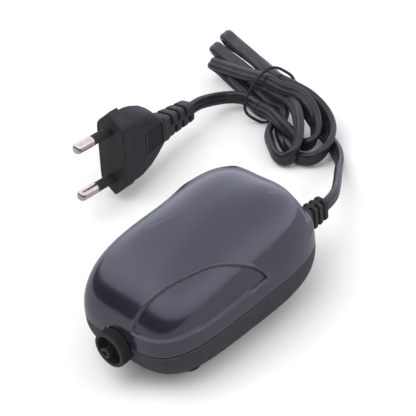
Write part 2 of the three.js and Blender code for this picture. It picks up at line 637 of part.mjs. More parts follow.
function roundedRectangle(halfWidth, halfHeight, radius) {
  const shape = new THREE.Shape();
  const [w, h] = [halfWidth - radius, halfHeight - radius];
  shape.absarc(w, h, radius, 0, Math.PI / 2);
  shape.absarc(-w, h, radius, Math.PI / 2, Math.PI);
  shape.absarc(-w, -h, radius, Math.PI, Math.PI * 1.5);
  shape.absarc(w, -h, radius, Math.PI * 1.5, Math.PI * 2);
  return shape;
}

function coilBobbin() {
  const [holeX, holeZ] = [CORE_CENTRE_LEG / 2 + GAP, CORE_STACK / 2 + GAP];
  const tubeWall = coilFrame(holeX + 1, holeZ + 1, holeX, holeZ, COIL_FRONT_Y, COIL_REAR_Y, 0.6);
  const front = coilFrame(7.7, 10.8, holeX, holeZ, COIL_FRONT_Y, COIL_FRONT_Y + 1, 0.6);
  const rear = coilFrame(7.7, 10.8, holeX, holeZ, COIL_REAR_Y - 1, COIL_REAR_Y, 0.6);
  return join(tubeWall, front, rear);
}

function coilWinding() {
  return coilFrame(6.9, 10, 4.6, 7.6, COIL_FRONT_Y + 1.3, COIL_REAR_Y - 1.3, 1.6);
}

function coilTape() {
  return coilFrame(7.5, 10.6, 7.2, 10.3, COIL_FRONT_Y + 1.9, COIL_REAR_Y - 1.9, 1.9);
}

function coreStrap() {
  const top = DRIVE_Z + CORE_STACK / 2 + GAP;
  const strap = box(ARM_X - CORE_HALF_WIDTH + 0.4, ARM_X + CORE_HALF_WIDTH - 0.4, 23.9, 27.6, top, top + 1.2);
  const holes = CORE_SCREW_PLACES.map(([, x]) => disc(1.4, top - 1, top + 3, 'z', x, CORE_SCREW_Y, 10));
  return cut(strap, ...holes);
}

function coreScrew([, x]) {
  return screw(2.2, 1.4, 1.1, DRIVE_Z + CORE_STACK / 2 + 2 * GAP + 2.6, 7.5, 'z', x, CORE_SCREW_Y);
}

// A round wire through the given points.
function wire(points, radius, steps) {
  const path = new THREE.CatmullRomCurve3(points.map(([x, y, z]) => new THREE.Vector3(x, y, z)));
  const section = new THREE.Shape().absarc(0, 0, radius, 0, Math.PI * 2);
  const options = { steps, curveSegments: 3, extrudePath: path, bevelEnabled: false };
  return closed(new THREE.ExtrudeGeometry(section, options));
}

function leadWire(side) {
  const x = CORD_X + side * 1.6;
  return wire([[ARM_X + side * 3, 23.9, 30.6], [ARM_X + side * 2.6, 26.4, 31.6], [x, 29.1, 29],
    [x, 29.3, 26], [x, 29.3, 20], [CORD_X + side * 1.2, 29.6, 17.4]], 0.55, 14);
}

function spliceSleeve(side) {
  return ring(0.85, 1.3, 20.5, 25.5, 'z', CORD_X + side * 1.6, 29.3, 10);
}

// ---- cord -----------------------------------------------------------------------------------
// A block whose rounded outline narrows evenly from y0 to y1.
function taperedBlock(half0, half1, y0, y1, x, z, radius) {
  const outline = roundedRectangle(half0[0], half0[1], radius);
  const block = new THREE.ExtrudeGeometry(outline, { depth: y1 - y0, bevelEnabled: false, curveSegments: 1 });
  const position = block.attributes.position;
  for (let i = 0; i < position.count; i += 1) {
    const t = position.getZ(i) / (y1 - y0);
    position.setX(i, position.getX(i) * THREE.MathUtils.lerp(1, half1[0] / half0[0], t));
    position.setY(i, position.getY(i) * THREE.MathUtils.lerp(1, half1[1] / half0[1], t));
  }
  block.rotateX(-Math.PI / 2).translate(x, y0, z);
  return closed(block);
}

function cordBoot() {
  const body = taperedBlock([2.9, 4.9], [2.2, 3.4], 36.6, BOOT_END_Y, CORD_X, CORD_Z, 1.3);
  const flange = box(CORD_X - 4.5, CORD_X + 4.5, 36.2, 37.6, CORD_Z - 5.9, CORD_Z + 5.9);
  const bore = box(CORD_X - CORD_WIDTH / 2 - 0.2, CORD_X + CORD_WIDTH / 2 + 0.2, 30, 60,
    CORD_Z - CORD_HEIGHT / 2 - 0.2, CORD_Z + CORD_HEIGHT / 2 + 0.2);
  const core = box(CORD_X - 2, CORD_X + 2, 40, 55, CORD_Z - 3.1, CORD_Z + 3.1);
  const slots = [];
  for (let i = 0; i < 3; i += 1) {
    const y = 44.6 + 2.7 * i;
    slots.push(cut(box(CORD_X + 0.9, CORD_X + 5, y - 0.6, y + 0.6, CORD_Z - 7, CORD_Z + 7), core));
    slots.push(cut(box(CORD_X - 5, CORD_X - 0.9, y - 0.6, y + 0.6, CORD_Z - 7, CORD_Z + 7), core));
  }
  return cut(join(body, flange), bore, ...slots);
}

function cordClamp() {
  const [low, high] = [CORD_Z - CORD_HEIGHT / 2, CORD_Z + CORD_HEIGHT / 2 + GAP];
  const bridge = box(CORD_X - 3.2, CORD_X + 3.2, 31.2, 34.8, low, high + 1.6);
  const slot = box(CORD_X - CORD_WIDTH / 2 - GAP, CORD_X + CORD_WIDTH / 2 + GAP, 30, 36, low - 1, high);
  return cut(bridge, slot);
}

const ALONG = new THREE.Vector3(Math.cos(HANK_TURN), Math.sin(HANK_TURN), 0);
const ACROSS = new THREE.Vector3(-Math.sin(HANK_TURN), Math.cos(HANK_TURN), 0);
const UPRIGHT = new THREE.Vector3(0, 0, 1);

// A point of the folded cord: along the hank, across it and up, from the middle of its tie.
function fromTie(along, across, rise) {
  const place = TIE_CENTRE.clone().addScaledVector(ALONG, along);
  return place.addScaledVector(ACROSS, across).addScaledVector(UPRIGHT, rise);
}

// Directions of a strand's flat width and of its thickness when it leans `tilt` degrees above level.
function leaning(tilt) {
  const lean = THREE.MathUtils.degToRad(tilt);
  const wide = ACROSS.clone().multiplyScalar(Math.cos(lean)).addScaledVector(UPRIGHT, Math.sin(lean));
  const deep = UPRIGHT.clone().multiplyScalar(Math.cos(lean)).addScaledVector(ACROSS, -Math.sin(lean));
  return { wide, deep };
}

// A point of the bundle under the tie, measured along its width and its thickness.
function inTie(along, [acrossWidth, acrossDepth]) {
  const { wide, deep } = leaning(STACK_TILT);
  const place = fromTie(along, along * 0.25, 0);
  return place.addScaledVector(wide, acrossWidth).addScaledVector(deep, acrossDepth);
}

// A strand that runs in under the tie, turns tightly at the far end and comes back out.
// Each row is a point of the cord's middle line and the direction of its flat width.
function fold(enter, leave, reach, across, rise, tilt) {
  const tip = fromTie(-reach, across, rise);
  const stack = leaning(STACK_TILT).wide;
  const rows = [[inTie(4, enter), stack], [inTie(-4, enter), stack]];
  const turn = [[0.5, -1.75], [0.8, -2], [0.955, -2.3], [1, 0], [0.955, 2.3], [0.8, 2], [0.5, 1.75]];
  for (const [share, side] of turn) {
    const { wide, deep } = leaning(THREE.MathUtils.lerp(STACK_TILT, tilt, share));
    const root = inTie(0, side < 0 ? enter : leave);
    rows.push([root.lerp(tip, share).addScaledVector(deep, side), wide]);
  }
  rows.push([inTie(-4, leave), stack], [inTie(4, leave), stack]);
  return rows;
}

// A loose loop on the open side, through points [along, across, rise, tilt] from the middle of the tie.
function lobe(points) {
  return points.map(([along, across, rise, tilt]) => [fromTie(along, across, rise), leaning(tilt).wide]);
}

// The whole cord: out of the boot, three folds and three lobes through the tie, and into the plug.
function cordRows() {
  const back = PLUG_PIN_DIRECTION.clone().negate();
  const behindPlug = (distance) => [
    PLUG_FACE.clone().addScaledVector(back, PLUG_DEPTH + PLUG_RELIEF + distance),
    PLUG_DOWN.clone().negate(),
  ];
  const start = [[CORD_X, 30.6, CORD_Z], [CORD_X, 36, CORD_Z], [CORD_X, 45, CORD_Z], [CORD_X, 53, CORD_Z],
    [4.5, 61, 15], [-1, 69, 12.4]];
  return [
    ...start.map((place) => [new THREE.Vector3(...place), UPRIGHT]),
    ...lobe([[52, -4, -2.2, 90], [43, 2.6, -5.6, 70], [34, 6.4, -7.4, 30], [27, 7.8, -7.5, 15],
      [20, 8, -6.4, 25], [12, 7.6, -2, 40]]),
    ...fold([7.2, -2.4], [7.3, 0.8], 46, 4.7, 3, 18),
    ...lobe([[10.5, 9.6, 3, 45], [18.4, 11.4, -0.6, 45], [26.2, 9.4, -2.6, 48], [32.5, 5, -3.2, 55],
      [35.4, 0.4, -4.8, 65], [35.2, -4.6, -6.2, 80], [31.5, -7.6, -6.8, 85], [25.5, -8, -6.8, 70],
      [20, -7, -7, 40], [14, -5, -7.2, 20], [9, -2.6, -6.4, 30]]),
    ...fold([-1.8, -3.2], [2.2, 0.6], 44.5, -1.2, 0.5, 28),
    ...lobe([[12.9, 1.6, 3, 48], [21, -1.4, 2.5, 50], [27.4, -5.3, 0.3, 55], [30.5, -9.1, -3.6, 65],
      [29.8, -12.5, -6.4, 80], [26, -14, -6.7, 85], [18, -12.1, -6.8, 85], [10.5, -9, -6.6, 70]]),
    ...fold([-6.6, -0.9], [5.2, 3.8], 39.5, -5, -3, 46),
    ...lobe([[10.5, 6, 5, 42], [18, 6.6, 2, 42], [23.9, 4.4, -1.4, 48], [27.9, 0.9, -3.9, 60],
      [28.4, -2.6, -4.6, 70], [25, -4.4, -4.5, 75], [20, -4.3, -3.6, 65], [13, -4.9, -2.2, 52]]),
    [inTie(5, [-5.6, 2.3]), leaning(STACK_TILT).wide],
    [inTie(-2, [-5.6, 2.3]), leaning(STACK_TILT).wide],
    ...lobe([[-7, -6, -3.4, 55], [-12.8, -6.6, -4.3, 70], [-17, -11, -4.5, 85]]),
    behindPlug(8),
    behindPlug(2),
    behindPlug(-4),
  ];
}

// A path that carries a flat section: its width follows the directions given with the points.
class RibbonCurve extends THREE.CatmullRomCurve3 {
  constructor(rows) {
    super(rows.map(([place]) => place), false, 'centripetal');
    this.widths = rows.map(([, wide]) => wide);
  }

  computeFrenetFrames(segments) {
    const [tangents, normals, binormals] = [[], [], []];
    const last = this.widths.length - 1;
    for (let i = 0; i <= segments; i += 1) {
      const tangent = this.getTangentAt(i / segments);
      const at = this.getUtoTmapping(i / segments) * last;
      const before = Math.min(Math.floor(at), last - 1);
      const wide = this.widths[before].clone().lerp(this.widths[before + 1], at - before);
      wide.addScaledVector(tangent, -wide.dot(tangent)).normalize();
      tangents.push(tangent);
      normals.push(new THREE.Vector3().crossVectors(wide, tangent));
      binormals.push(wide);
    }
    return { tangents, normals, binormals };
  }
}

function powerCord() {
  const path = new RibbonCurve(cordRows());
  path.arcLengthDivisions = 2000;
  const outline = roundedRectangle(CORD_WIDTH / 2, CORD_HEIGHT / 2, CORD_WIDTH / 2 - 0.1);
  const options = { steps: 250, curveSegments: 1, extrudePath: path, bevelEnabled: false };
  return closed(new THREE.ExtrudeGeometry(outline, options));
}

// A soft band whose middle line is a rounded loop round the bundle.
function cordTie() {
  const geometry = new THREE.TorusGeometry(1, 0.5, 6, 28);
  const position = geometry.attributes.position;
  const { wide, deep } = leaning(STACK_TILT);
  for (let i = 0; i < position.count; i += 1) {
    const [x, y, z] = [position.getX(i), position.getY(i), position.getZ(i)];
    const turn = Math.atan2(y, x);
    const outwards = Math.hypot(x, y) - 1;
    const squareness = (
      Math.abs(Math.cos(turn)) ** TIE_POWER + Math.abs(Math.sin(turn)) ** TIE_POWER
    ) ** (-1 / TIE_POWER);
    const place = fromTie(z - TIE_SLIP * (0.4 + 0.6 * Math.cos(turn)), 0, 0);
    place.addScaledVector(deep, 0.8 + Math.cos(turn) * (TIE_HALF_DEEP * squareness + outwards));
    place.addScaledVector(wide, Math.sin(turn) * (TIE_HALF_WIDE * squareness + outwards));
    position.setXYZ(i, place.x, place.y, place.z);
  }
  return closed(geometry);
}

// ---- plug -----------------------------------------------------------------------------------
// Plug frame: local Z along the pins, local X down through both pins, local Y through the thickness.
function inPlugFrame(geometry) {
  const along = PLUG_PIN_DIRECTION.clone();
  const down = PLUG_DOWN.clone().addScaledVector(along, -PLUG_DOWN.dot(along)).normalize();
  const side = new THREE.Vector3().crossVectors(along, down);
  const frame = new THREE.Matrix4().makeBasis(down, side, along).setPosition(PLUG_FACE);
  return geometry.applyMatrix4(frame);
}

function plugBody() {
  const half = PLUG_LENGTH / 2;
  const outline = new THREE.Shape();
  outline.moveTo(-half + 1, 0);
  outline.lineTo(half - 1, 0);
  outline.lineTo(half, -1);
  outline.lineTo(half, -5.4);
  outline.bezierCurveTo(half - 0.6, -14, 12, -20, 6.5, -PLUG_DEPTH + 1.5);
  outline.lineTo(5.3, -PLUG_DEPTH);
  outline.lineTo(-5.3, -PLUG_DEPTH);
  outline.lineTo(-6.5, -PLUG_DEPTH + 1.5);
  outline.bezierCurveTo(-12, -20, -half + 0.6, -14, -half, -5.4);
  outline.lineTo(-half, -1);
  outline.closePath();
  const bevel = 1.4;
  const body = new THREE.ExtrudeGeometry(outline, {
    depth: PLUG_THICKNESS - 2 * bevel, bevelThickness: bevel, bevelSize: bevel, bevelOffset: -bevel,
    bevelSegments: 1, curveSegments: 4,
  });
  // outline X stays local X, outline Y becomes local Z, depth becomes local Y
  body.translate(0, 0, -PLUG_THICKNESS / 2 + bevel).rotateX(Math.PI / 2);
  const relief = new THREE.CylinderGeometry(4.6, 3.7, PLUG_RELIEF + 2, 16);
  relief.rotateX(Math.PI / 2).translate(0, 0, -PLUG_DEPTH - PLUG_RELIEF / 2 + 1);
  const bore = new THREE.BoxGeometry(CORD_HEIGHT + 0.6, CORD_WIDTH + 0.6, 8);
  bore.translate(0, 0, -PLUG_DEPTH - PLUG_RELIEF);
  const sockets = [-1, 1].map((side) => {
    const socket = new THREE.CylinderGeometry(1.6, 1.6, 14, 16);
    return socket.rotateX(Math.PI / 2).translate((side * PIN_SPACING) / 2, 0, -1);
  });
  return inPlugFrame(cut(join(body, relief), bore, ...sockets));
}

function plugPin(side) {
  const tip = PLUG_PIN_LENGTH;
  const profile = [[0, -7.5], [1.3, -7.5], [1.3, SLEEVE_LENGTH + GAP], [PLUG_PIN_RADIUS, SLEEVE_LENGTH + GAP],
    [PLUG_PIN_RADIUS, tip - 1.4], [1.3, tip - 0.3], [0, tip]];
  return inPlugFrame(turned(profile, 'z', (side * PIN_SPACING) / 2, 0));
}

function pinSleeve(side) {
  return inPlugFrame(ring(1.6, 1.95, GAP, SLEEVE_LENGTH, 'z', (side * PIN_SPACING) / 2, 0));
}

// ---- assembly -------------------------------------------------------------------------------
function plastic(color, roughness) {
  return new THREE.MeshStandardMaterial({ color, roughness, metalness: 0 });
}

function metal(color, roughness) {
  return new THREE.MeshStandardMaterial({ color, roughness, metalness: 1 });
}

const GLOSS_SLATE = plastic(0x4a4b57, 0.18);
const MATTE_CHARCOAL = plastic(0x2f2f33, 0.6);
const BLACK_RUBBER = plastic(0x161617, 0.8);
const CORD_BLACK = plastic(0x232326, 0.45);
const PALE_NYLON = plastic(0xd8d4c8, 0.5);
const ORANGE_RUBBER = plastic(0x8a3b22, 0.75);
const CLEAR_VINYL = plastic(0xc9cfd2, 0.3);
const WHITE_FELT = plastic(0xe6e4dc, 0.95);
const ENAMELLED_COPPER = metal(0xa4552c, 0.35);
const POLYESTER_TAPE = plastic(0xb58a2b, 0.4);
const LAMINATED_STEEL = metal(0x6d6f72, 0.5);
const ZINC_STEEL = metal(0xb9bcc0, 0.35);
const DARK_FERRITE = plastic(0x2a2b2d, 0.55);
const NICKEL = metal(0xcfc7b8, 0.22);

const pump = new THREE.Group();

function add(name, geometry, material) {
  const mesh = new THREE.Mesh(geometry.translate(0, 0, -BASE_BOTTOM_Z), material);
  mesh.name = name;
  pump.add(mesh);
}

add('top_cover', topCover(), GLOSS_SLATE);
add('base_shell', baseShell(), MATTE_CHARCOAL);
for (const place of FOOT_PLACES) add(`foot_${place[0]}`, foot(place), BLACK_RUBBER);
for (const place of SCREW_PLACES) add(`case_screw_${place[0]}`, caseScrew(place), ZINC_STEEL);
add('inlet_filter', filterFelt(), WHITE_FELT);
add('filter_cap', filterCap(), MATTE_CHARCOAL);

add('flow_knob', flowKnob(), BLACK_RUBBER);
add('outlet_nozzle', outletNozzle(), MATTE_CHARCOAL);
add('outlet_o_ring', outletORing(), BLACK_RUBBER);
add('outlet_hose', outletHose(), CLEAR_VINYL);

add('chamber_block', chamberBlock(), PALE_NYLON);
add('valve_plate', valvePlate(), PALE_NYLON);
add('intake_valve', intakeValve(), ORANGE_RUBBER);
add('exhaust_valve', exhaustValve(), ORANGE_RUBBER);
add('chamber_cup', chamberCup(), PALE_NYLON);
add('diaphragm', diaphragm(), ORANGE_RUBBER);
add('diaphragm_clamp', diaphragmClamp(), PALE_NYLON);
for (const line of CHAMBER_SCREW_LINES) add(`chamber_screw_${line[0]}`, chamberScrew(line), ZINC_STEEL);
add('diaphragm_plate', diaphragmPlate(), ZINC_STEEL);
add('diaphragm_boss', diaphragmBoss(), PALE_NYLON);
add('diaphragm_screw', diaphragmScrew(), ZINC_STEEL);

add('swing_arm', swingArm(), PALE_NYLON);
add('pivot_bush', pivotBush(), ORANGE_RUBBER);
add('pivot_clip', pivotClip(), ZINC_STEEL);
add('magnet_holder', magnetHolder(), PALE_NYLON);
add('magnet', magnet(), DARK_FERRITE);
add('magnet_screw', magnetScrew(), ZINC_STEEL);

add('iron_core', ironCore(), LAMINATED_STEEL);
add('coil_bobbin', coilBobbin(), PALE_NYLON);
add('coil_winding', coilWinding(), ENAMELLED_COPPER);
add('coil_tape', coilTape(), POLYESTER_TAPE);
add('core_strap', coreStrap(), ZINC_STEEL);
for (const place of CORE_SCREW_PLACES) add(`core_screw_${place[0]}`, coreScrew(place), ZINC_STEEL);
add('lead_wire_left', leadWire(-1), CORD_BLACK);
add('lead_wire_right', leadWire(1), CORD_BLACK);
add('splice_sleeve_left', spliceSleeve(-1), ORANGE_RUBBER);
add('splice_sleeve_right', spliceSleeve(1), ORANGE_RUBBER);

add('cord_boot', cordBoot(), BLACK_RUBBER);
add('cord_clamp', cordClamp(), PALE_NYLON);
add('power_cord', powerCord(), CORD_BLACK);
add('cord_tie', cordTie(), BLACK_RUBBER);
add('plug_body', plugBody(), MATTE_CHARCOAL);
add('plug_pin_upper', plugPin(-1), NICKEL);
add('plug_pin_lower', plugPin(1), NICKEL);
add('pin_sleeve_upper', pinSleeve(-1), BLACK_RUBBER);
add('pin_sleeve_lower', pinSleeve(1), BLACK_RUBBER);

export default pump;
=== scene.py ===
"""Looks of a small aquarium air pump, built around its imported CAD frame.

Shapes are worked out in millimetres above the floor under the feet; build() scales them by MM and lowers
them by LIFT, because the frame's origin is in the middle of the casing's flat underside. The air outlet
faces -Y and the cord leaves at +Y.
"""

import math

import bmesh
import bpy
import numpy as np
from mathutils import Matrix, Vector


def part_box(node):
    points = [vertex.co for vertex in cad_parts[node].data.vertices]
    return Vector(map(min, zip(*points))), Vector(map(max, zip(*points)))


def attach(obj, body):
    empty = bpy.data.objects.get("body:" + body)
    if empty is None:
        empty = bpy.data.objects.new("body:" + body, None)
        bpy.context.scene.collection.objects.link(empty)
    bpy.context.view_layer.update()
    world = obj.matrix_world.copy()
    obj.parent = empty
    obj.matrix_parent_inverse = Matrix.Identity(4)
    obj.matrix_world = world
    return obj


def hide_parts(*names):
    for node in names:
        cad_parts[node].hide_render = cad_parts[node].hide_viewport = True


MM = 0.001
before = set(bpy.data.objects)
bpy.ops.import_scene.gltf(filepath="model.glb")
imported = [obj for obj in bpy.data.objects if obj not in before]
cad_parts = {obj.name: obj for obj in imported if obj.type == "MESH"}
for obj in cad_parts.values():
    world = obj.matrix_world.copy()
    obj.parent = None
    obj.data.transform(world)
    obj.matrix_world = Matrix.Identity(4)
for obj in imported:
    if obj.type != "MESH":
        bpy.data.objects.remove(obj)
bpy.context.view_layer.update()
scene = bpy.context.scene


LIFT = np.array([0, 0, -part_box("foot_front_left")[0][2] / MM])


def node_box(name):
    """Lowest and highest corner of a CAD node, in millimetres above the floor."""
    return [np.array(corner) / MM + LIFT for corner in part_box(name)]


def node_middle(name):
    low, high = node_box(name)
    return (low + high) / 2


# ---- driving dimensions, in millimetres -----------------------------------------------------
COVER_LOW, COVER_HIGH = node_box("top_cover")
HALF_WIDTH = (COVER_HIGH[0] - COVER_LOW[0]) / 2
HALF_LENGTH = (COVER_HIGH[1] - COVER_LOW[1]) / 2
FRONT_POWER = 4.2
REAR_POWER = 3.4
SEAM_Z = 16.8
SEAM_SLOPE = 0.02
SEAM_GAP = 0.3
COVER_HEIGHT = COVER_HIGH[2] - SEAM_Z
COVER_POWER = 2.4
COVER_TILT = 0.1
BASE_BOTTOM = node_box("base_shell")[0][2]
BASE_INSET = 0.46
BASE_POWER = 2.7
WALL = 2.0
CASE_COLUMNS = 560
COVER_ROWS = 118
BASE_ROWS = 56

PANEL_BOTTOM = 6.3        # distance up the wall from the seam to the level edge of a panel
# each panel: girth from its datum to its peak, height, reach either side of the peak, squareness, depth
RIGHT_PANEL = (23, 19.6, 16.0, 40.5, 1.72, 0.95)     # datum: front middle, to the right
LEFT_PANEL = (53, 21.6, 28.0, 30.0, 3.0, 1.3)        # datum: front middle, to the left
REAR_PANEL = (5, 20.8, 30.0, 20.0, 2.2, 1.3)         # datum: rear middle, to the left
PANEL_EDGE = 0.6
PANEL_BEAD = 0.12

OUTLET_Z = node_middle("flow_knob")[2]
KNOB_FRONT = node_box("flow_knob")[0][1]
KNOB_RADIUS = 6.4
NOZZLE_TIP = node_box("outlet_nozzle")[0][1]
CORD_WIDTH = 5.2
CORD_THICKNESS = 3.0
BOOT_MIDDLE = node_middle("cord_boot")
BOOT_END = node_box("cord_boot")[1][1]

PLUG_FACE = np.array([-72.6, 27.2, 18.9])
PIN_AXIS = np.array([0.122, -0.979, 0.162])
PLUG_LONG = np.array([0.103, -0.150, -0.983])
PLUG_DEPTH = 27.0
RELIEF_END = 46.0         # distance from the face to the end of the bend relief
PIN_SPACING = 18.6
PIN_RADIUS = 2.0
PIN_LENGTH = 19.0
SLEEVE_LENGTH = 10.0

TIE_CENTRE = np.array([-58.6, 99.4, 10.0])
HANK_TURN = -0.31         # direction of the folded cord about Z, radians
STACK_TILT = 48           # lean of the flat strands under the tie above level, degrees
TIE_HALF_WIDE = 11.0
TIE_HALF_DEEP = 7.2
TIE_POWER = 3.0
TIE_SLIP = 5.0            # the near side of the tie slips this far towards the folds

CORNERS = ("front_left", "front_right", "rear_left", "rear_right")


# ---- node materials -------------------------------------------------------------------------
class Shader:
    """A node material under construction. Texture coordinates are millimetres in the row frame."""

    def __init__(self, name):
        self.material = bpy.data.materials.new(name)
        self.material.use_nodes = True
        self.tree = self.material.node_tree
        self.surface = self.tree.nodes["Principled BSDF"]
        place = self.node("ShaderNodeTexCoord")
        scale = self.node("ShaderNodeVectorMath", operation="SCALE")
        scale.inputs["Scale"].default_value = 1 / MM
        self.link(place.outputs["Object"], scale.inputs[0])
        self.place = scale.outputs[0]

    def node(self, kind, **settings):
        made = self.tree.nodes.new(kind)
        for key, value in settings.items():
            setattr(made, key, value)
        return made

    def link(self, source, target):
        self.tree.links.new(source, target)

    def noise(self, size, detail=3.0, stretch=(1, 1, 1), place=None):
        """Noise whose features are about `size` millimetres."""
        mapping = self.node("ShaderNodeMapping")
        mapping.inputs["Scale"].default_value = stretch
        self.link(place or self.place, mapping.inputs["Vector"])
        noise = self.node("ShaderNodeTexNoise")
        noise.inputs["Scale"].default_value = 1 / size
        noise.inputs["Detail"].default_value = detail
        self.link(mapping.outputs[0], noise.inputs["Vector"])
        return noise.outputs["Fac"]

    def waves(self, size, axis, distortion):
        """Parallel bands `size` millimetres apart along an axis."""
        wave = self.node("ShaderNodeTexWave", bands_direction=axis)
        wave.inputs["Scale"].default_value = math.pi / 10 / size
        wave.inputs["Distortion"].default_value = distortion
        self.link(self.place, wave.inputs["Vector"])
        return wave.outputs["Fac"]

    def spread(self, value, low, high, start=0.35, end=0.65):
        """Maps the middle of a noise value to the range low to high."""
        ranges = self.node("ShaderNodeMapRange")
        for key, number in zip(("From Min", "From Max", "To Min", "To Max"), (start, end, low, high)):
            ranges.inputs[key].default_value = number
        self.link(value, ranges.inputs["Value"])
        return ranges.outputs["Result"]

    def mix(self, share, first, second):
        """Mixes two colours; each is a colour or another node's output."""
        mixer = self.node("ShaderNodeMix", data_type="RGBA")
        self.link(share, mixer.inputs["Factor"])
        for socket, value in ((mixer.inputs[6], first), (mixer.inputs[7], second)):
            if isinstance(value, tuple):
                socket.default_value = (*value, 1)
            else:
                self.link(value, socket)
        return mixer.outputs[2]

    def edges(self, low=0.51, high=0.56):
        """Nearly 1 along outward edges, 0 elsewhere."""
        geometry = self.node("ShaderNodeNewGeometry")
        return self.spread(geometry.outputs["Pointiness"], 0, 1, low, high)

    def color(self, value):
        self.link(value, self.surface.inputs["Base Color"])

    def roughness(self, value):
        self.link(value, self.surface.inputs["Roughness"])

    def bump(self, *layers):
        """Stacks bump layers, each (height, depth in millimetres)."""
        below = None
        for height, depth in layers:
            bump = self.node("ShaderNodeBump")
            bump.inputs["Strength"].default_value = 1.0
            bump.inputs["Distance"].default_value = depth * MM
            self.link(height, bump.inputs["Height"])
            if below:
                self.link(below, bump.inputs["Normal"])
            below = bump.outputs["Normal"]
        self.link(below, self.surface.inputs["Normal"])

    def set(self, **values):
        for key, value in values.items():
            self.surface.inputs[key.replace("_", " ")].default_value = value


def gloss_slate():
    """Polished dark slate ABS: faint flow marks, dust specks, almost no texture."""
    s = Shader("gloss_slate")
    s.set(Specular_IOR_Level=0.8, Coat_Weight=0.35, Coat_Roughness=0.05)
    mottled = s.mix(s.spread(s.noise(9, 4), 0, 1), (0.014, 0.0145, 0.022), (0.019, 0.0195, 0.029))
    specks = s.spread(s.noise(0.35, 2), 0, 0.35, 0.7, 0.76)
    dusty = s.mix(specks, mottled, (0.06, 0.06, 0.068))
    s.color(s.mix(s.edges(), dusty, (0.045, 0.046, 0.058)))
    s.roughness(s.spread(s.noise(14, 5), 0.13, 0.2))
    s.bump((s.noise(5, 2), 0.012), (s.noise(0.5, 2), 0.0012))
    return s.material


def matte_charcoal(name="matte_charcoal", shade=1.0, grain=0.03):
    """Spark-eroded moulded plastic: an even fine grain with shinier worn edges."""
    s = Shader(name)
    s.set(Specular_IOR_Level=0.3)
    dark = tuple(shade * channel for channel in (0.026, 0.026, 0.028))
    pale = tuple(shade * channel for channel in (0.037, 0.037, 0.040))
    mottled = s.mix(s.spread(s.noise(3, 6), 0, 1), dark, pale)
    s.color(s.mix(s.edges(), mottled, tuple(shade * channel for channel in (0.055, 0.055, 0.058))))
    s.roughness(s.spread(s.noise(6, 4), 0.42, 0.56))
    s.bump((s.noise(0.22, 3), grain), (s.noise(2.4, 2), 0.02))
    return s.material


def black_rubber():
    """Soft black moulded rubber with a dull bloom and pale scuffed edges."""
    s = Shader("black_rubber")
    s.set(Specular_IOR_Level=0.16, Sheen_Weight=0.04, Sheen_Roughness=0.5)
    mottled = s.mix(s.spread(s.noise(1.6, 5), 0, 1), (0.010, 0.010, 0.011), (0.018, 0.018, 0.019))
    s.color(s.mix(s.edges(), mottled, (0.036, 0.036, 0.037)))
    s.roughness(s.spread(s.noise(2.5, 3), 0.5, 0.68))
    s.bump((s.noise(0.3, 3), 0.03), (s.noise(1.2, 2), 0.03))
    return s.material


def cord_vinyl():
    """Satin flexible PVC: fine die lines run along the cord, stored in its `run` attribute."""
    s = Shader("cord_vinyl")
    run = s.node("ShaderNodeAttribute", attribute_name="run").outputs["Vector"]
    s.set(Specular_IOR_Level=0.5)
    mottled = s.mix(s.spread(s.noise(7, 4, place=run), 0, 1), (0.012, 0.012, 0.014), (0.021, 0.021, 0.024))
    s.color(s.mix(s.edges(0.52, 0.6), mottled, (0.034, 0.034, 0.037)))
    s.roughness(s.spread(s.noise(5, 4, place=run), 0.2, 0.34))
    die_lines = s.noise(0.35, 2, (0.03, 1, 1), run)
    s.bump((die_lines, 0.03), (s.noise(2.2, 3, place=run), 0.05), (s.noise(0.25, 2), 0.006))
    return s.material


def metal(name, color, worn, roughness):
    """Plated or turned metal with cloudy plating and fine scratches."""
    s = Shader(name)
    s.set(Metallic=1.0)
    s.color(s.mix(s.spread(s.noise(1.5, 5), 0, 1), color, worn))
    s.roughness(s.spread(s.noise(0.8, 5), roughness, roughness + 0.14))
    s.bump((s.noise(0.5, 4, (1, 6, 1)), 0.01))
    return s.material


def nylon():
    """Natural unfilled nylon: milky, with slight flow clouds."""
    s = Shader("nylon_natural")
    s.set(Subsurface_Weight=0.25, Subsurface_Scale=0.0015)
    s.color(s.mix(s.spread(s.noise(4, 5), 0, 1), (0.66, 0.63, 0.54), (0.76, 0.74, 0.66)))
    s.roughness(s.spread(s.noise(3, 4), 0.38, 0.55))
    s.bump((s.noise(0.4, 3), 0.012), (s.noise(3, 2), 0.02))
    return s.material


def orange_rubber():
    """Rust-orange nitrile rubber with a talc bloom."""
    s = Shader("orange_rubber")
    talc = s.mix(s.spread(s.noise(1.1, 6), 0, 1, 0.45, 0.75), (0.30, 0.075, 0.03), (0.42, 0.17, 0.10))
    s.color(talc)
    s.roughness(s.spread(s.noise(2, 3), 0.6, 0.8))
    s.bump((s.noise(0.3, 3), 0.02))
    return s.material


def clear_vinyl():
    """Slightly yellowed clear hose."""
    s = Shader("clear_vinyl")
    s.set(Transmission_Weight=0.75, IOR=1.48)
    s.color(s.mix(s.spread(s.noise(3, 3), 0, 1), (0.78, 0.82, 0.80), (0.88, 0.9, 0.87)))
    s.roughness(s.spread(s.noise(2, 3), 0.12, 0.28))
    s.bump((s.noise(0.8, 3), 0.02))
    return s.material


def white_felt():
    """Needled felt: matted fibres at two scales."""
    s = Shader("white_felt")
    s.set(Sheen_Weight=0.6)
    fibres = s.noise(0.18, 6, (1, 0.3, 1))
    s.color(s.mix(s.spread(fibres, 0, 1), (0.52, 0.50, 0.46), (0.82, 0.81, 0.77)))
    s.roughness(s.spread(fibres, 0.85, 1.0))
    s.bump((fibres, 0.15), (s.noise(0.9, 4), 0.12))
    return s.material


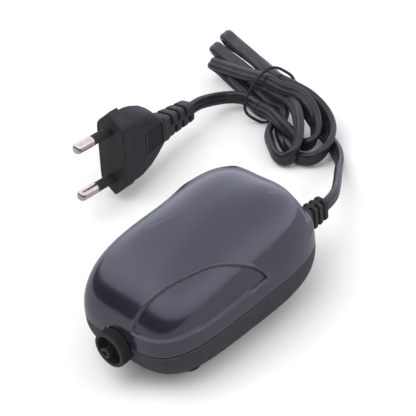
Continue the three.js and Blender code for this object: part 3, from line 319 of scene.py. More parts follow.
def coil_tape():
    """Amber polyester tape over the coil, with crosswise wrinkles."""
    s = Shader("coil_tape")
    s.set(Coat_Weight=0.5, Coat_Roughness=0.15)
    s.color(s.mix(s.spread(s.noise(2, 4), 0, 1), (0.42, 0.24, 0.035), (0.56, 0.36, 0.08)))
    s.roughness(s.spread(s.noise(1, 4), 0.25, 0.45))
    s.bump((s.noise(0.7, 3, (1, 0.2, 1)), 0.05))
    return s.material


def ferrite():
    """Ground ferrite magnet: grey-black ceramic with pits."""
    s = Shader("ferrite")
    pits = s.spread(s.noise(0.4, 4), 0, 1, 0.3, 0.4)
    s.color(s.mix(pits, (0.012, 0.012, 0.013), (0.045, 0.045, 0.048)))
    s.roughness(s.spread(s.noise(1.2, 4), 0.35, 0.6))
    s.bump((pits, 0.04), (s.waves(0.25, "X", 1.5), 0.006))
    return s.material


def laminated_steel():
    """Stacked core sheets: dark lines between bright cut edges, blued by the anneal."""
    s = Shader("laminated_steel")
    s.set(Metallic=0.9)
    sheets = s.waves(0.5, "Z", 0.15)
    blued = s.mix(s.spread(s.noise(3, 4), 0, 1), (0.20, 0.21, 0.24), (0.34, 0.33, 0.33))
    s.color(s.mix(s.spread(sheets, 0, 1, 0.1, 0.35), (0.03, 0.028, 0.03), blued))
    s.roughness(s.spread(s.noise(1, 5), 0.35, 0.6))
    s.bump((sheets, 0.06), (s.noise(0.5, 4), 0.015))
    return s.material


SLATE = gloss_slate()
CHARCOAL = matte_charcoal()
PLUG_PLASTIC = matte_charcoal("plug_charcoal", 0.68, 0.035)
RUBBER = black_rubber()
VINYL = cord_vinyl()
NICKEL = metal("nickel_pin", (0.80, 0.72, 0.60), (0.66, 0.57, 0.46), 0.16)
ZINC = metal("zinc_steel", (0.52, 0.53, 0.55), (0.42, 0.43, 0.42), 0.28)
COPPER = metal("copper_wire", (0.62, 0.26, 0.10), (0.48, 0.17, 0.06), 0.24)
NYLON = nylon()
ORANGE = orange_rubber()
HOSE = clear_vinyl()
FELT = white_felt()
TAPE = coil_tape()
FERRITE = ferrite()
STEEL = laminated_steel()


# ---- mesh helpers ---------------------------------------------------------------------------
def unit(vector):
    vector = np.asarray(vector, float)
    return vector / np.linalg.norm(vector, axis=-1, keepdims=True)


def smooth_step(value, start, end):
    t = np.clip((value - start) / (end - start), 0, 1)
    return t * t * (3 - 2 * t)


def grid(points, caps=(True, True)):
    """A tube of quads through rows of points, with a flat face over each end that asks for one."""
    rows, columns, _ = points.shape
    faces = []
    for row in range(rows - 1):
        here = row * columns
        for column in range(columns):
            after = (column + 1) % columns
            faces.append((here + column, here + after, here + columns + after, here + columns + column))
    if caps[0]:
        faces.append(tuple(range(columns)))
    if caps[1]:
        faces.append(tuple(range((rows - 1) * columns, rows * columns)))
    return points.reshape(-1, 3), faces


def build(name, shape, material, body="casing", stands_for=(), sharp=38, run=None):
    """A finished piece from (points, faces): merged, smooth with sharp edges, riding on its body."""
    points, faces = shape
    mesh = bpy.data.meshes.new(name)
    mesh.from_pydata(((np.asarray(points) - LIFT) * MM).tolist(), [], faces)
    if run is not None:
        layer = mesh.attributes.new("run", "FLOAT_VECTOR", "POINT")
        layer.data.foreach_set("vector", np.asarray(run, np.float32).ravel())
    edit = bmesh.new()
    edit.from_mesh(mesh)
    bmesh.ops.remove_doubles(edit, verts=edit.verts, dist=5e-7)
    bmesh.ops.recalc_face_normals(edit, faces=edit.faces)
    edit.to_mesh(mesh)
    edit.free()
    piece = bpy.data.objects.new(name, mesh)
    scene.collection.objects.link(piece)
    mesh.materials.append(material)
    shade(mesh, sharp)
    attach(piece, body)
    if stands_for:
        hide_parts(*stands_for)
    return piece


def shade(mesh, sharp):
    mesh.shade_smooth()
    mesh.set_sharp_from_angle(angle=math.radians(sharp))


def carve(piece, tools, sharp=38, soften=0.0):
    """Cuts the tools, each (points, faces), out of a piece; soften rounds the new edges."""
    cutters = []
    for number, shape in enumerate(tools):
        cutter = build(f"tool_{number}", shape, RUBBER)
        cutters.append(cutter)
        modifier = piece.modifiers.new(f"cut_{number}", "BOOLEAN")
        modifier.object = cutter
        modifier.solver = "EXACT"
    if soften:
        rounding = piece.modifiers.new("rounding", "BEVEL")
        rounding.width = soften * MM
        rounding.segments = 2
        rounding.limit_method = "ANGLE"
        rounding.angle_limit = math.radians(sharp)
    graph = bpy.context.evaluated_depsgraph_get()
    carved = bpy.data.meshes.new_from_object(piece.evaluated_get(graph))
    piece.modifiers.clear()
    piece.data = carved
    shade(carved, sharp)
    for cutter in cutters:
        bpy.data.objects.remove(cutter)
    return piece


def axes_of(direction):
    """Two unit vectors square to a direction and to each other."""
    along = unit(direction)
    helper = np.array([0, 0, 1.0]) if abs(along[2]) < 0.9 else np.array([1.0, 0, 0])
    first = unit(np.cross(helper, along))
    return first, np.cross(along, first), along


def lathe(profile, centre, direction, segments=64, wobble=None):
    """A profile of (radius, distance along) turned about an axis, from axis to axis or as a closed ring."""
    first, second, along = axes_of(direction)
    angle = np.linspace(0, 2 * math.pi, segments, endpoint=False)
    radius, reach = np.array(profile, float).T
    closed_ring = radius[0] > 0
    if closed_ring:
        radius, reach = np.append(radius, radius[0]), np.append(reach, reach[0])
    radius = np.repeat(radius[:, None], segments, 1)
    if wobble:
        radius = radius + wobble(angle[None, :], reach[:, None], radius)
    ring = np.cos(angle)[:, None] * first + np.sin(angle)[:, None] * second
    points = np.asarray(centre) + radius[..., None] * ring + reach[:, None, None] * along
    return grid(points, (False, False))


def rounded(profile, radius=0.25):
    """Rounds the inner corners of a profile with short curves."""
    points = [np.array(point, float) for point in profile]
    out = [points[0]]
    for before, corner, after in zip(points, points[1:], points[2:]):
        cut = min(radius, np.linalg.norm(before - corner) / 2.2, np.linalg.norm(after - corner) / 2.2)
        start = corner + unit(before - corner) * cut
        end = corner + unit(after - corner) * cut
        for t in np.linspace(0, 1, 4):
            out.append((1 - t) ** 2 * start + 2 * t * (1 - t) * corner + t * t * end)
    out.append(points[-1])
    return out


def block(centre, half, spin=None):
    """A box tool, turned by the 3x3 matrix `spin`."""
    corners = [(x, y, z) for z in (-1, 1) for x, y in ((-1, -1), (1, -1), (1, 1), (-1, 1))]
    points = np.array(corners, float) * half
    if spin is not None:
        points = points @ spin.T
    return grid((points + centre).reshape(2, 4, 3))


def disc(radius, start, end, centre, direction, segments=64):
    return lathe([(0, start), (radius, start), (radius, end), (0, end)], centre, direction, segments)


def rounded_rectangle(half_x, half_y, radius):
    """Points round a rectangle with round corners, in order."""
    points = []
    for quarter, (sign_x, sign_y) in enumerate(((1, 1), (-1, 1), (-1, -1), (1, -1))):
        for t in np.linspace(0, math.pi / 2, 6):
            angle = t + quarter * math.pi / 2
            points.append((sign_x * (half_x - radius) + radius * math.cos(angle),
                           sign_y * (half_y - radius) + radius * math.sin(angle)))
    return np.array(points)


def square_to_y(section, x, y, z):
    """A section of (across, up) points, placed square to the Y axis."""
    return np.stack([section[:, 0] + x, np.full(len(section), y), section[:, 1] + z], -1)


# ---- casing ---------------------------------------------------------------------------------
def plan(angle, inset=0.0):
    """The casing's outline seen from above at its seam: a rounded oblong."""
    power = np.where(np.sin(angle) < 0, FRONT_POWER, REAR_POWER)
    across = np.abs(np.cos(angle) / (HALF_WIDTH - inset)) ** power
    along = np.abs(np.sin(angle) / (HALF_LENGTH - inset)) ** power
    reach = (across + along) ** (-1 / power)
    return reach * np.cos(angle), reach * np.sin(angle)


def cover_form(angle, latitude, inset=0.0):
    x, y = plan(angle, inset)
    shrink = np.cos(latitude).clip(0) ** (2 / COVER_POWER)
    lift = np.sin(latitude) ** (2 / COVER_POWER)
    tilt = 1 + COVER_TILT * y / (HALF_LENGTH - inset) * shrink
    z = SEAM_Z + SEAM_SLOPE * y * shrink + (COVER_HEIGHT - inset) * tilt * lift
    return np.stack([x * shrink, y * shrink, z], -1)


def base_form(angle, drop, inset=0.0):
    x, y = plan(angle, inset)
    tuck = BASE_INSET * (1 - (1 - drop ** BASE_POWER).clip(0) ** (1 / BASE_POWER))
    z = (SEAM_Z + SEAM_SLOPE * y) * (1 - drop) + (BASE_BOTTOM + inset) * drop
    return np.stack([x * (1 - tuck), y * (1 - tuck), z], -1)


def even_rows(form, start, end, rows):
    """Row values from start to end that lie evenly along the side of a form."""
    fine = np.linspace(start, end, 3000)
    side = form(np.zeros(1), fine[:, None])[:, 0]
    walked = np.concatenate([[0], np.cumsum(np.linalg.norm(np.diff(side, axis=0), axis=1))])
    return np.interp(np.linspace(0, walked[-1], rows), walked, fine)


def inside_arch(across, up, height, front_reach, rear_reach, power):
    """Signed distance inside an arched outline on its level edge; across is measured from its peak."""
    reach = np.where(across < 0, front_reach, rear_reach)
    share = np.abs(across) / reach
    rise = (up / height).clip(1e-6)
    form = share ** power + rise ** power
    slope = np.hypot(power * share ** (power - 1) / reach, power * rise ** (power - 1) / height)
    return np.minimum((1 - form) / slope.clip(1e-3), up)


def panel_depth(around, up, girth):
    """How deep the surface lies below the plain form: two side panels and one at the rear."""
    up = up - PANEL_BOTTOM
    depth = np.zeros_like(up)
    places = ((around, RIGHT_PANEL), (girth - around, LEFT_PANEL), (around - girth / 2, REAR_PANEL))
    for from_datum, (peak, *outline, recess) in places:
        inside = inside_arch(from_datum - peak, up, *outline)
        depth += recess * smooth_step(inside, 0, PANEL_EDGE)
        depth -= PANEL_BEAD * smooth_step(inside, -1.2, -0.3) * (1 - smooth_step(inside, -0.1, 0.2))
    return depth


def casing_angles():
    return np.linspace(-math.pi / 2, 1.5 * math.pi, CASE_COLUMNS, endpoint=False)


def girth_of(angle):
    """Distance round the plan outline from the front middle, for each angle, and the whole girth."""
    x, y = plan(np.append(angle, angle[0] + 2 * math.pi))
    walked = np.concatenate([[0], np.cumsum(np.hypot(np.diff(x), np.diff(y)))])
    return walked[:-1], walked[-1]


def outlet_bores():
    """The sunk round seat of the flow knob and the hole for its neck."""
    axis = (0, 0, OUTLET_Z)
    seat = disc(KNOB_RADIUS + 0.45, -60, -39.7, axis, (0, 1, 0), 96)
    return [seat, disc(4.85, -45, -30, axis, (0, 1, 0))]


def boot_hole():
    section = rounded_rectangle(3.2, 5.2, 1.5)
    rows = [square_to_y(section, BOOT_MIDDLE[0], y, BOOT_MIDDLE[2]) for y in (33.0, 60.0)]
    return grid(np.array(rows))


def top_cover():
    angle = casing_angles()
    around, girth = girth_of(angle)
    lift = (SEAM_GAP / 2 + 0.2) / COVER_HEIGHT
    start = math.asin(lift ** (COVER_POWER / 2))
    latitude = even_rows(cover_form, start, math.pi / 2, COVER_ROWS)
    outer = cover_form(angle[None, :], latitude[:, None])
    up = np.concatenate([np.zeros((1, CASE_COLUMNS)),
                         np.cumsum(np.linalg.norm(np.diff(outer, axis=0), axis=2), axis=0)])
    normal = np.cross(np.gradient(outer, axis=1), np.gradient(outer, axis=0))
    normal[-1] = (0, 0, 1)
    depth = panel_depth(around[None, :] + 0 * up, up + SEAM_GAP, girth)
    outer = outer - unit(normal) * depth[..., None]
    seam = SEAM_Z + SEAM_SLOPE * plan(angle)[1] + SEAM_GAP / 2
    lip = []
    for inset, rise in ((WALL, 0), (0.45, 0), (0.2, 0.06)):
        x, y = plan(angle, inset)
        lip.append(np.stack([x, y, seam + rise], -1))
    inner_rows = np.linspace(math.pi / 2, 0.12, 24)
    inner = cover_form(angle[None, :], inner_rows[:, None], WALL)
    points = np.concatenate([inner, np.array(lip), outer])
    cover = build("top_cover_shell", grid(points, (False, False)), SLATE,
                  stands_for=["top_cover"])
    return carve(cover, outlet_bores() + [boot_hole()], 30)


def base_shell():
    angle = casing_angles()
    start = 0.022
    drop = even_rows(base_form, start, 1.0, BASE_ROWS)
    outer = base_form(angle[None, :], drop[:, None])
    floor = outer[-1][None] * np.array([1, 1, 0]) * np.linspace(0.9, 0, 8)[:, None, None]
    floor[..., 2] = BASE_BOTTOM
    seam = SEAM_Z + SEAM_SLOPE * plan(angle)[1] - SEAM_GAP / 2
    lip = []
    for inset, fall in ((WALL, 0), (0.4, 0), (0.15, 0.08)):
        x, y = plan(angle, inset)
        lip.append(np.stack([x, y, seam - fall], -1))
    inner_drop = np.linspace(1, 0.1, 16)
    inner = base_form(angle[None, :], inner_drop[:, None], WALL)
    inner_floor = inner[0][None] * np.array([1, 1, 0]) * np.array([0, 0.5])[:, None, None]
    inner_floor[..., 2] = BASE_BOTTOM + WALL
    points = np.concatenate([inner_floor, inner, np.array(lip), outer, floor])
    base = build("base_shell_tray", grid(points, (False, False)), CHARCOAL,
                 stands_for=["base_shell"])
    down = (0, 0, 1)
    holes = outlet_bores() + [boot_hole()]
    for place in CORNERS:
        x, y, _ = node_middle(f"case_screw_{place}")
        holes.append(disc(2.6, -1, 6.6, (x, y, 0), down, 32))
        x, y, _ = node_middle(f"foot_{place}")
        holes.append(disc(1.9, -1, 6, (x, y, 0), down, 32))
    holes.append(disc(7.2, -1, 4.4, (0, 0, 0), down))
    return carve(base, holes, 30)


def feet():
    """Rubber push-in feet with a shallow dish and a moulding ring."""
    profile = [(0, 0.35), (1.2, 0.3), (1.5, 0.0), (3.3, 0.0), (4.0, 0.7), (4.0, 2.25), (1.6, 2.25),
               (1.6, 5.2), (2.3, 5.2), (1.8, 6.2), (0, 6.2)]
    for place in CORNERS:
        x, y, _ = node_middle(f"foot_{place}")
        build(f"rubber_foot_{place}", lathe(rounded(profile, 0.35), (x, y, 0), (0, 0, 1)), RUBBER,
              stands_for=[f"foot_{place}"])


def screw(name, node, head_radius, head_height, shank_radius, direction):
    """A pan-head screw with a cross recess and a raised thread, in the place of a CAD screw."""
    low, high = node_box(node)
    axis = np.array(direction, float)
    middle = (low + high) / 2
    length = float(abs((high - low) @ axis))
    start = middle - axis * length / 2
    profile = [(0, 0), (head_radius * 0.55, 0.02), (head_radius * 0.9, head_height * 0.3),
               (head_radius, head_height * 0.75), (head_radius, head_height),
               (shank_radius, head_height + 0.05)]
    pitch = 0.8
    threads = int((length - head_height - 1.5) / pitch)
    for turn in range(threads):
        at = head_height + 0.4 + turn * pitch
        profile += [(shank_radius * 0.82, at), (shank_radius * 1.0, at + pitch / 2)]
    profile += [(shank_radius * 0.75, length - 1), (0, length)]
    made = build(name, lathe(profile, start, axis, 28), ZINC, "casing", [node], 50)
    first, second, _ = axes_of(axis)
    spin = np.stack([first, second, axis], 1)
    bars = [block(start, (head_radius * 0.62, head_radius * 0.15, head_height * 0.6), spin),
            block(start, (head_radius * 0.15, head_radius * 0.62, head_height * 0.6), spin)]
    return carve(made, bars, 40)


def inlet():
    """Felt disc behind a slotted cap in the underside."""
    low, high = node_box("filter_cap")
    profile = [(0, low[2]), (6.4, low[2]), (6.9, low[2] + 0.35), (6.9, high[2]), (0, high[2])]
    cap = build("inlet_cap", lathe(rounded(profile), (0, 0, 0), (0, 0, 1), 96), CHARCOAL,
                stands_for=["filter_cap"])
    bars = [block((0, y, low[2]), (4.4 - abs(y) * 0.4, 0.45, 3)) for y in (-3, -1.5, 0, 1.5, 3)]
    carve(cap, bars, 35)
    low, high = node_box("inlet_filter")

    def fluff(angle, reach, radius):
        return 0.12 * np.sin(17 * angle + 3 * reach) * (radius > 3)

    profile = rounded([(0, low[2]), (6.5, low[2]), (6.5, high[2]), (0, high[2])], 0.5)
    build("inlet_felt", lathe(profile, (0, 0, 0), (0, 0, 1), 96, fluff), FELT,
          stands_for=["inlet_filter"])


# ---- outlet ---------------------------------------------------------------------------------
def flow_knob():
    """A deep round collar with a finely ribbed barrel and a rolled lip."""
    front = KNOB_FRONT
    barrel = [(KNOB_RADIUS, front + at) for at in np.linspace(0.62, 3.6, 16)]
    profile = [(2.7, front + 3.5), (4.9, front + 3.5), (5.1, front + 3.2), (5.1, front + 0.35),
               (5.25, front + 0.08), (5.6, front), (6.1, front + 0.1), (6.3, front + 0.35),
               (KNOB_RADIUS, front + 0.55), *barrel,
               (6.25, front + 3.8), (5.9, front + 4.35), (4.6, front + 4.4), (4.6, -38.3), (5.3, -38.3),
               (5.3, -37.7), (3.9, -37.7), (3.9, -39.6), (2.7, -39.6)]

    def ribs(angle, reach, radius):
        started = smooth_step(reach, front + 0.6, front + 1.0)
        on_barrel = started * (1 - smooth_step(reach, front + 3.3, front + 3.6))
        return 0.12 * np.cos(80 * angle) * on_barrel * (radius > 6.3)

    build("flow_knob_collar", lathe(profile, (0, 0, OUTLET_Z), (0, 1, 0), 480, ribs), RUBBER, "knob",
          ["flow_knob"])


def outlet_nozzle():
    """The fixed air spout: flanged tip on a thin neck, anchor plate and the barb for the inner hose."""
    tip = NOZZLE_TIP
    profile = [(0, tip + 9), (1.0, tip + 9), (1.0, tip + 0.3), (1.2, tip), (1.7, tip), (1.9, tip + 0.2),
               (1.85, tip + 0.7), (1.5, tip + 1.1), (1.5, tip + 4.4), (2.4, tip + 5.4), (2.4, -36.9),
               (0, -36.9)]
    build("outlet_spout", lathe(profile, (0, 0, OUTLET_Z), (0, 1, 0), 72), RUBBER,
          stands_for=["outlet_nozzle"])
    plate = rounded_rectangle(5.5, 5.5, 0.8)
    elbow = rounded_rectangle(2.2, 2.2, 0.6)
    parts = (("outlet_plate", plate, -37.2, -36.0), ("outlet_elbow", elbow, -36.0, -30.5))
    for name, section, start, end in parts:
        rows = [square_to_y(section * scale, 0, y, OUTLET_Z)
                for y, scale in ((start, 0.96), (start + 0.2, 1), (end - 0.2, 1), (end, 0.96))]
        build(name, grid(np.array(rows)), CHARCOAL)
    barb = [(0, 1.5), (1.7, 1.5)]
    for step in range(3):
        barb += [(1.7, 2.4 + step * 1.4), (2.05, 2.5 + step * 1.4), (1.75, 3.5 + step * 1.4)]
    barb += [(1.4, 6.8), (0, 6.8)]
    build("outlet_barb", lathe(barb, (0, -32.6, OUTLET_Z), (-1, 0, 0), 48), CHARCOAL)


# ---- cord -----------------------------------------------------------------------------------
def spline(controls, samples, passes):
    """A smooth path through control points, evenly sampled and then relaxed a little."""
    controls = np.array(controls, float)
    steps = np.sqrt(np.linalg.norm(np.diff(controls[:, :3], axis=0), axis=1))
    knots = np.concatenate([[0], np.cumsum(steps)])
    slope = np.diff(controls, axis=0) / steps[:, None]
    tangent = np.empty_like(controls)
    tangent[0], tangent[-1] = slope[0], slope[-1]
    weight = (steps[:-1] / (steps[:-1] + steps[1:]))[:, None]
    tangent[1:-1] = slope[:-1] * (1 - weight) + slope[1:] * weight
    at = np.linspace(0, knots[-1], samples * 4)
    piece = np.clip(np.searchsorted(knots, at, "right") - 1, 0, len(steps) - 1)
    span = steps[piece][:, None]
    t = ((at - knots[piece]) / steps[piece])[:, None]
    path = ((2 * t ** 3 - 3 * t ** 2 + 1) * controls[piece]
            + (t ** 3 - 2 * t ** 2 + t) * span * tangent[piece]
            + (3 * t ** 2 - 2 * t ** 3) * controls[piece + 1]
            + (t ** 3 - t ** 2) * span * tangent[piece + 1])
    walked = np.concatenate([[0], np.cumsum(np.linalg.norm(np.diff(path[:, :3], axis=0), axis=1))])
    even = np.linspace(0, walked[-1], samples)
    path = np.stack([np.interp(even, walked, column) for column in path.T], -1)
    for _ in range(passes):
        path[1:-1] += 0.5 * ((path[:-2] + path[2:]) / 2 - path[1:-1])
    return path, even


def sweep(path, facing, section):
    """Carries a section (width, thickness) along a path, its width kept towards `facing`."""
    tangent = unit(np.gradient(path, axis=0))
    width = unit(facing - (facing * tangent).sum(-1, keepdims=True) * tangent)
    thickness = np.cross(tangent, width)
    return grid(path[:, None] + section[None, :, :1] * width[:, None]
                + section[None, :, 1:] * thickness[:, None])


def twin_section():
    """Flat twin cord: two round cores side by side under one skin, with a shallow groove between."""
    angle = np.linspace(0, 2 * math.pi, 36, endpoint=False)
    across = CORD_WIDTH / 2 * np.sign(np.cos(angle)) * np.abs(np.cos(angle)) ** 0.85
    height = CORD_THICKNESS / 2 * np.sign(np.sin(angle)) * np.abs(np.sin(angle)) ** 0.8
    groove = 1 - 0.16 * np.exp(-(across / 0.55) ** 2)
    return np.stack([across, height * groove], -1)


ALONG = np.array([math.cos(HANK_TURN), math.sin(HANK_TURN), 0])
ACROSS = np.array([-math.sin(HANK_TURN), math.cos(HANK_TURN), 0])
UPRIGHT = np.array([0, 0, 1.0])


def leaning(tilt):
    """Directions of a strand's flat width and of its thickness when it leans `tilt` degrees above level."""
    lean = math.radians(tilt)
    wide = ACROSS * math.cos(lean) + UPRIGHT * math.sin(lean)
    deep = UPRIGHT * math.cos(lean) - ACROSS * math.sin(lean)
    return wide, deep


def in_tie(along, place):
    """A point of the bundle under the tie; place is measured along its width and its thickness."""
    wide, deep = leaning(STACK_TILT)
    return TIE_CENTRE + ALONG * along + ACROSS * 0.25 * along + wide * place[0] + deep * place[1]


def fold(enter, leave, reach, across, rise, tilt):
    """A strand that runs in under the tie, turns tightly at the far end and comes back out."""
    tip = TIE_CENTRE - ALONG * reach + ACROSS * across + UPRIGHT * rise
    rows = [(in_tie(along, enter), STACK_TILT) for along in (4, -4)]
    turn = ((0.5, -1.75), (0.8, -2), (0.955, -2.3), (1, 0), (0.955, 2.3), (0.8, 2), (0.5, 1.75))
    for share, side in turn:
        lean = STACK_TILT + (tilt - STACK_TILT) * share
        root = in_tie(0, enter if side < 0 else leave)
        rows.append((root + (tip - root) * share + leaning(lean)[1] * side, lean))
    rows += [(in_tie(along, leave), STACK_TILT) for along in (-4, 4)]
    return rows


def lobe(points):
    """A loose loop on the open side, through (along, across, rise, tilt) from the middle of the tie."""
    return [(TIE_CENTRE + ALONG * along + ACROSS * across + UPRIGHT * rise, tilt)
            for along, across, rise, tilt in points]


def cord_controls():
    """Control points of the whole cord, each with the direction its flat width faces."""
    back = -PIN_AXIS
    plug_back = PLUG_FACE + back * RELIEF_END
    x, z = BOOT_MIDDLE[0], BOOT_MIDDLE[2]
    start = ((x, 34, z), (x, 45, z), (x, 53, z), (4.5, 61, 15), (-1.0, 69, 12.4))
    rows = [(np.array(point), 90) for point in start]
    rows += lobe([(53, -4.1, -2.2, 90), (43, 2.6, -5.6, 70), (34, 6.4, -7.4, 30), (27, 7.8, -7.5, 15),
                  (20, 8.0, -6.4, 25), (12, 7.6, -2.0, 40)])
    rows += fold((7.2, -2.4), (7.3, 0.8), 46, 4.7, 3, 18)
    rows += lobe([(10.5, 9.6, 3.0, 45), (18.4, 11.4, -0.6, 45), (26.2, 9.4, -2.6, 48), (32.5, 5.0, -3.2, 55),
                  (35.4, 0.4, -4.8, 65), (35.2, -4.6, -6.2, 80), (31.5, -7.6, -6.8, 85),
                  (25.5, -8.0, -6.8, 70),
                  (20, -7.0, -7.0, 40), (14, -5.0, -7.2, 20), (9, -2.6, -6.4, 30)])
    rows += fold((-1.8, -3.2), (2.2, 0.6), 44.5, -1.2, 0.5, 28)
    rows += lobe([(12.9, 1.6, 3.0, 48), (21.0, -1.4, 2.5, 50), (27.4, -5.3, 0.3, 55), (30.5, -9.1, -3.6, 65),
                  (29.8, -12.5, -6.4, 80), (26.0, -14.0, -6.7, 85), (18, -12.1, -6.8, 85),
                  (10.5, -9.0, -6.6, 70)])
    rows += fold((-6.6, -0.9), (5.2, 3.8), 39.5, -5.0, -3.0, 46)
    rows += lobe([(10.5, 6.0, 5.0, 42), (18, 6.6, 2.0, 42), (23.9, 4.4, -1.4, 48), (27.9, 0.9, -3.9, 60),
                  (28.4, -2.6, -4.6, 70), (25.0, -4.4, -4.5, 75), (20, -4.3, -3.6, 65), (13, -4.9, -2.2, 52)])
    rows += [(in_tie(along, (-5.6, 2.3)), STACK_TILT) for along in (5, -2)]
    rows += lobe([(-7, -6.0, -3.4, 55), (-12.8, -6.6, -4.3, 70), (-17, -11.0, -4.5, 85)])
    points = np.array([point for point, _ in rows])
    facing = np.array([leaning(tilt)[0] for _, tilt in rows])
    ending = [plug_back + back * 8, plug_back + back * 2, plug_back - back * 4]
    return np.hstack([np.vstack([points, ending]), np.vstack([facing, [-PLUG_LONG] * 3])])


def power_cord():
    path, walked = spline(cord_controls(), 1300, 10)
    section = twin_section()
    skirt = np.arange(len(section)) * 0.45
    run = np.stack(np.broadcast_arrays(walked[:, None], skirt[None, :], 0 * skirt[None, :]), -1)
    return build("power_cord_flex", sweep(path[:, :3], path[:, 3:], section), VINYL,
                 stands_for=["power_cord"], run=run.reshape(-1, 3))


def cord_tie():
    """A soft round band pulled into a tall oval round the bundle, its near side slipped towards the folds."""
    turn = np.linspace(0, 2 * math.pi, 160, endpoint=False)
    squareness = (np.abs(np.cos(turn)) ** TIE_POWER + np.abs(np.sin(turn)) ** TIE_POWER) ** (-1 / TIE_POWER)
    wide, deep = leaning(STACK_TILT)
    out = wide * np.sin(turn)[:, None] + deep * np.cos(turn)[:, None]
    centre = (TIE_CENTRE + wide * (TIE_HALF_WIDE * np.sin(turn) * squareness)[:, None]
              + deep * (0.8 + TIE_HALF_DEEP * np.cos(turn) * squareness)[:, None]
              - ALONG * (TIE_SLIP * (0.4 + 0.6 * np.cos(turn)))[:, None])
    around = np.linspace(0, 2 * math.pi, 16, endpoint=False)
    ring = (centre[:, None] + 0.56 * np.cos(around)[None, :, None] * out[:, None]
            + 0.56 * np.sin(around)[None, :, None] * ALONG)
    points, faces = grid(np.concatenate([ring, ring[:1]]), (False, False))
    return build("cord_tie_band", (points, faces), RUBBER, stands_for=["cord_tie"])


def slot_outline(start, end, core, half_core):
    """A C-shaped cutter for a wrap-round slot, which leaves the cord's core standing."""
    reach = 7
    return np.array([(start, reach), (end, reach), (end, -reach), (start, -reach), (start, -half_core),
                     (core, -half_core), (core, half_core), (start, half_core)])


def cord_boot():
    """The bend relief at the casing: a tapered oblong sleeve with three wrap-round slots on each side."""
    x, _, z = BOOT_MIDDLE
    rows = []
    end = BOOT_END
    for y, half_x, half_z in ((37.9, 3.0, 5.0), (38.5, 3.0, 5.0), (end - 0.6, 2.6, 4.1),
                              (end - 0.2, 2.5, 4.0), (end, 2.2, 3.7)):
        rows.append(square_to_y(rounded_rectangle(half_x, half_z, 1.15), x, y, z))
    boot = build("cord_boot_sleeve", grid(np.array(rows)), RUBBER,
                 stands_for=["cord_boot"])
    tools = []
    outline = slot_outline(0.7, 5, 1.75, 2.75)
    for number in range(3):
        y = 44.6 + 2.7 * number
        for side in (-1, 1):
            rows = [square_to_y(outline * (side, 1), x, edge, z) for edge in (y - 0.62, y + 0.62)]
            tools.append(grid(np.array(rows)))
    return carve(boot, tools, 38, 0.22)


# ---- plug -----------------------------------------------------------------------------------
LONG = unit(PLUG_LONG - (PLUG_LONG @ PIN_AXIS) * PIN_AXIS)
SIDE = np.cross(PIN_AXIS, LONG)


def on_plug(long, side, depth):
    """A point of the plug: along its long axis, through its thickness, and back from its face."""
    long, side, depth = np.broadcast_arrays(long, side, depth)
    return PLUG_FACE + long[..., None] * LONG + side[..., None] * SIDE - depth[..., None] * PIN_AXIS


def plug_radius(angle, half_long, half_thick, slant, power):
    """A six-sided outline with soft corners: flat broad sides, pointed narrow ends."""
    flat = np.abs(np.sin(angle)) / half_thick
    ends = (np.abs(np.cos(angle)) + slant * np.abs(np.sin(angle))) / half_long
    return (flat ** power + ends ** power) ** (-1 / power)


def plug_body():
    angle = np.linspace(0, 2 * math.pi, 260, endpoint=False)
    # depth back from the face, half length, half thickness, end slant, corner power
    stations = np.array([
        (0.0, 15.9, 5.7, 0.78, 16), (0.25, 16.3, 6.1, 0.78, 16), (0.7, 16.5, 6.3, 0.78, 16),
        (5.0, 16.5, 6.3, 0.78, 16), (5.4, 16.3, 6.15, 0.78, 14), (5.7, 15.4, 5.8, 0.72, 9),
        (9.0, 15.2, 5.8, 0.6, 7), (12.0, 14.6, 5.8, 0.5, 6), (17.0, 12.8, 5.6, 0.42, 5),
        (21.0, 10.3, 5.3, 0.36, 5), (24.0, 7.8, 5.1, 0.3, 5), (26.0, 6.0, 4.9, 0.26, 5),
        (PLUG_DEPTH - 0.2, 5.4, 4.8, 0.24, 5), (PLUG_DEPTH, 5.0, 4.4, 0.24, 5)])
    depth = np.unique(np.concatenate([np.linspace(0, 0.7, 6), np.linspace(0.7, 4.8, 12),
                                      np.linspace(4.8, 7, 18), np.linspace(7, PLUG_DEPTH, 160)]))
    half_long, half_thick, slant, power = [np.interp(depth, stations[:, 0], column)[:, None]
                                           for column in stations.T[1:]]
    radius = plug_radius(angle[None, :], half_long, half_thick, slant, power)
    long = radius * np.cos(angle)
    side = radius * np.sin(angle)
    deep = np.broadcast_to(depth[:, None], long.shape)
    reach = 5.0 - 0.09 * (deep - 14.5)
    grip = (smooth_step(deep, 14.3, 14.7) * (1 - smooth_step(deep, 24.3, 24.7))
            * (1 - smooth_step(np.abs(long), reach - 0.25, reach + 0.25)))
    ribs = 0.5 - 0.5 * np.cos((deep - 14.5) * 2 * math.pi / 1.43)
    line = (1 - smooth_step(np.abs(deep - 13), 0.15, 0.4)) * (1 - smooth_step(np.abs(long), 4.4, 5.0))
    sink = grip * (0.9 - 0.5 * ribs) + 0.3 * line
    side = side - np.sign(side) * np.minimum(sink, np.abs(side))
    parting = 0.12 * (1 - smooth_step(np.abs(side), 0.1, 0.35)) * (depth[:, None] > 0.3)
    long = long + np.sign(long) * parting
    return build("plug_grip", grid(on_plug(long, side, deep)), PLUG_PLASTIC,
                 stands_for=["plug_body"], sharp=32)


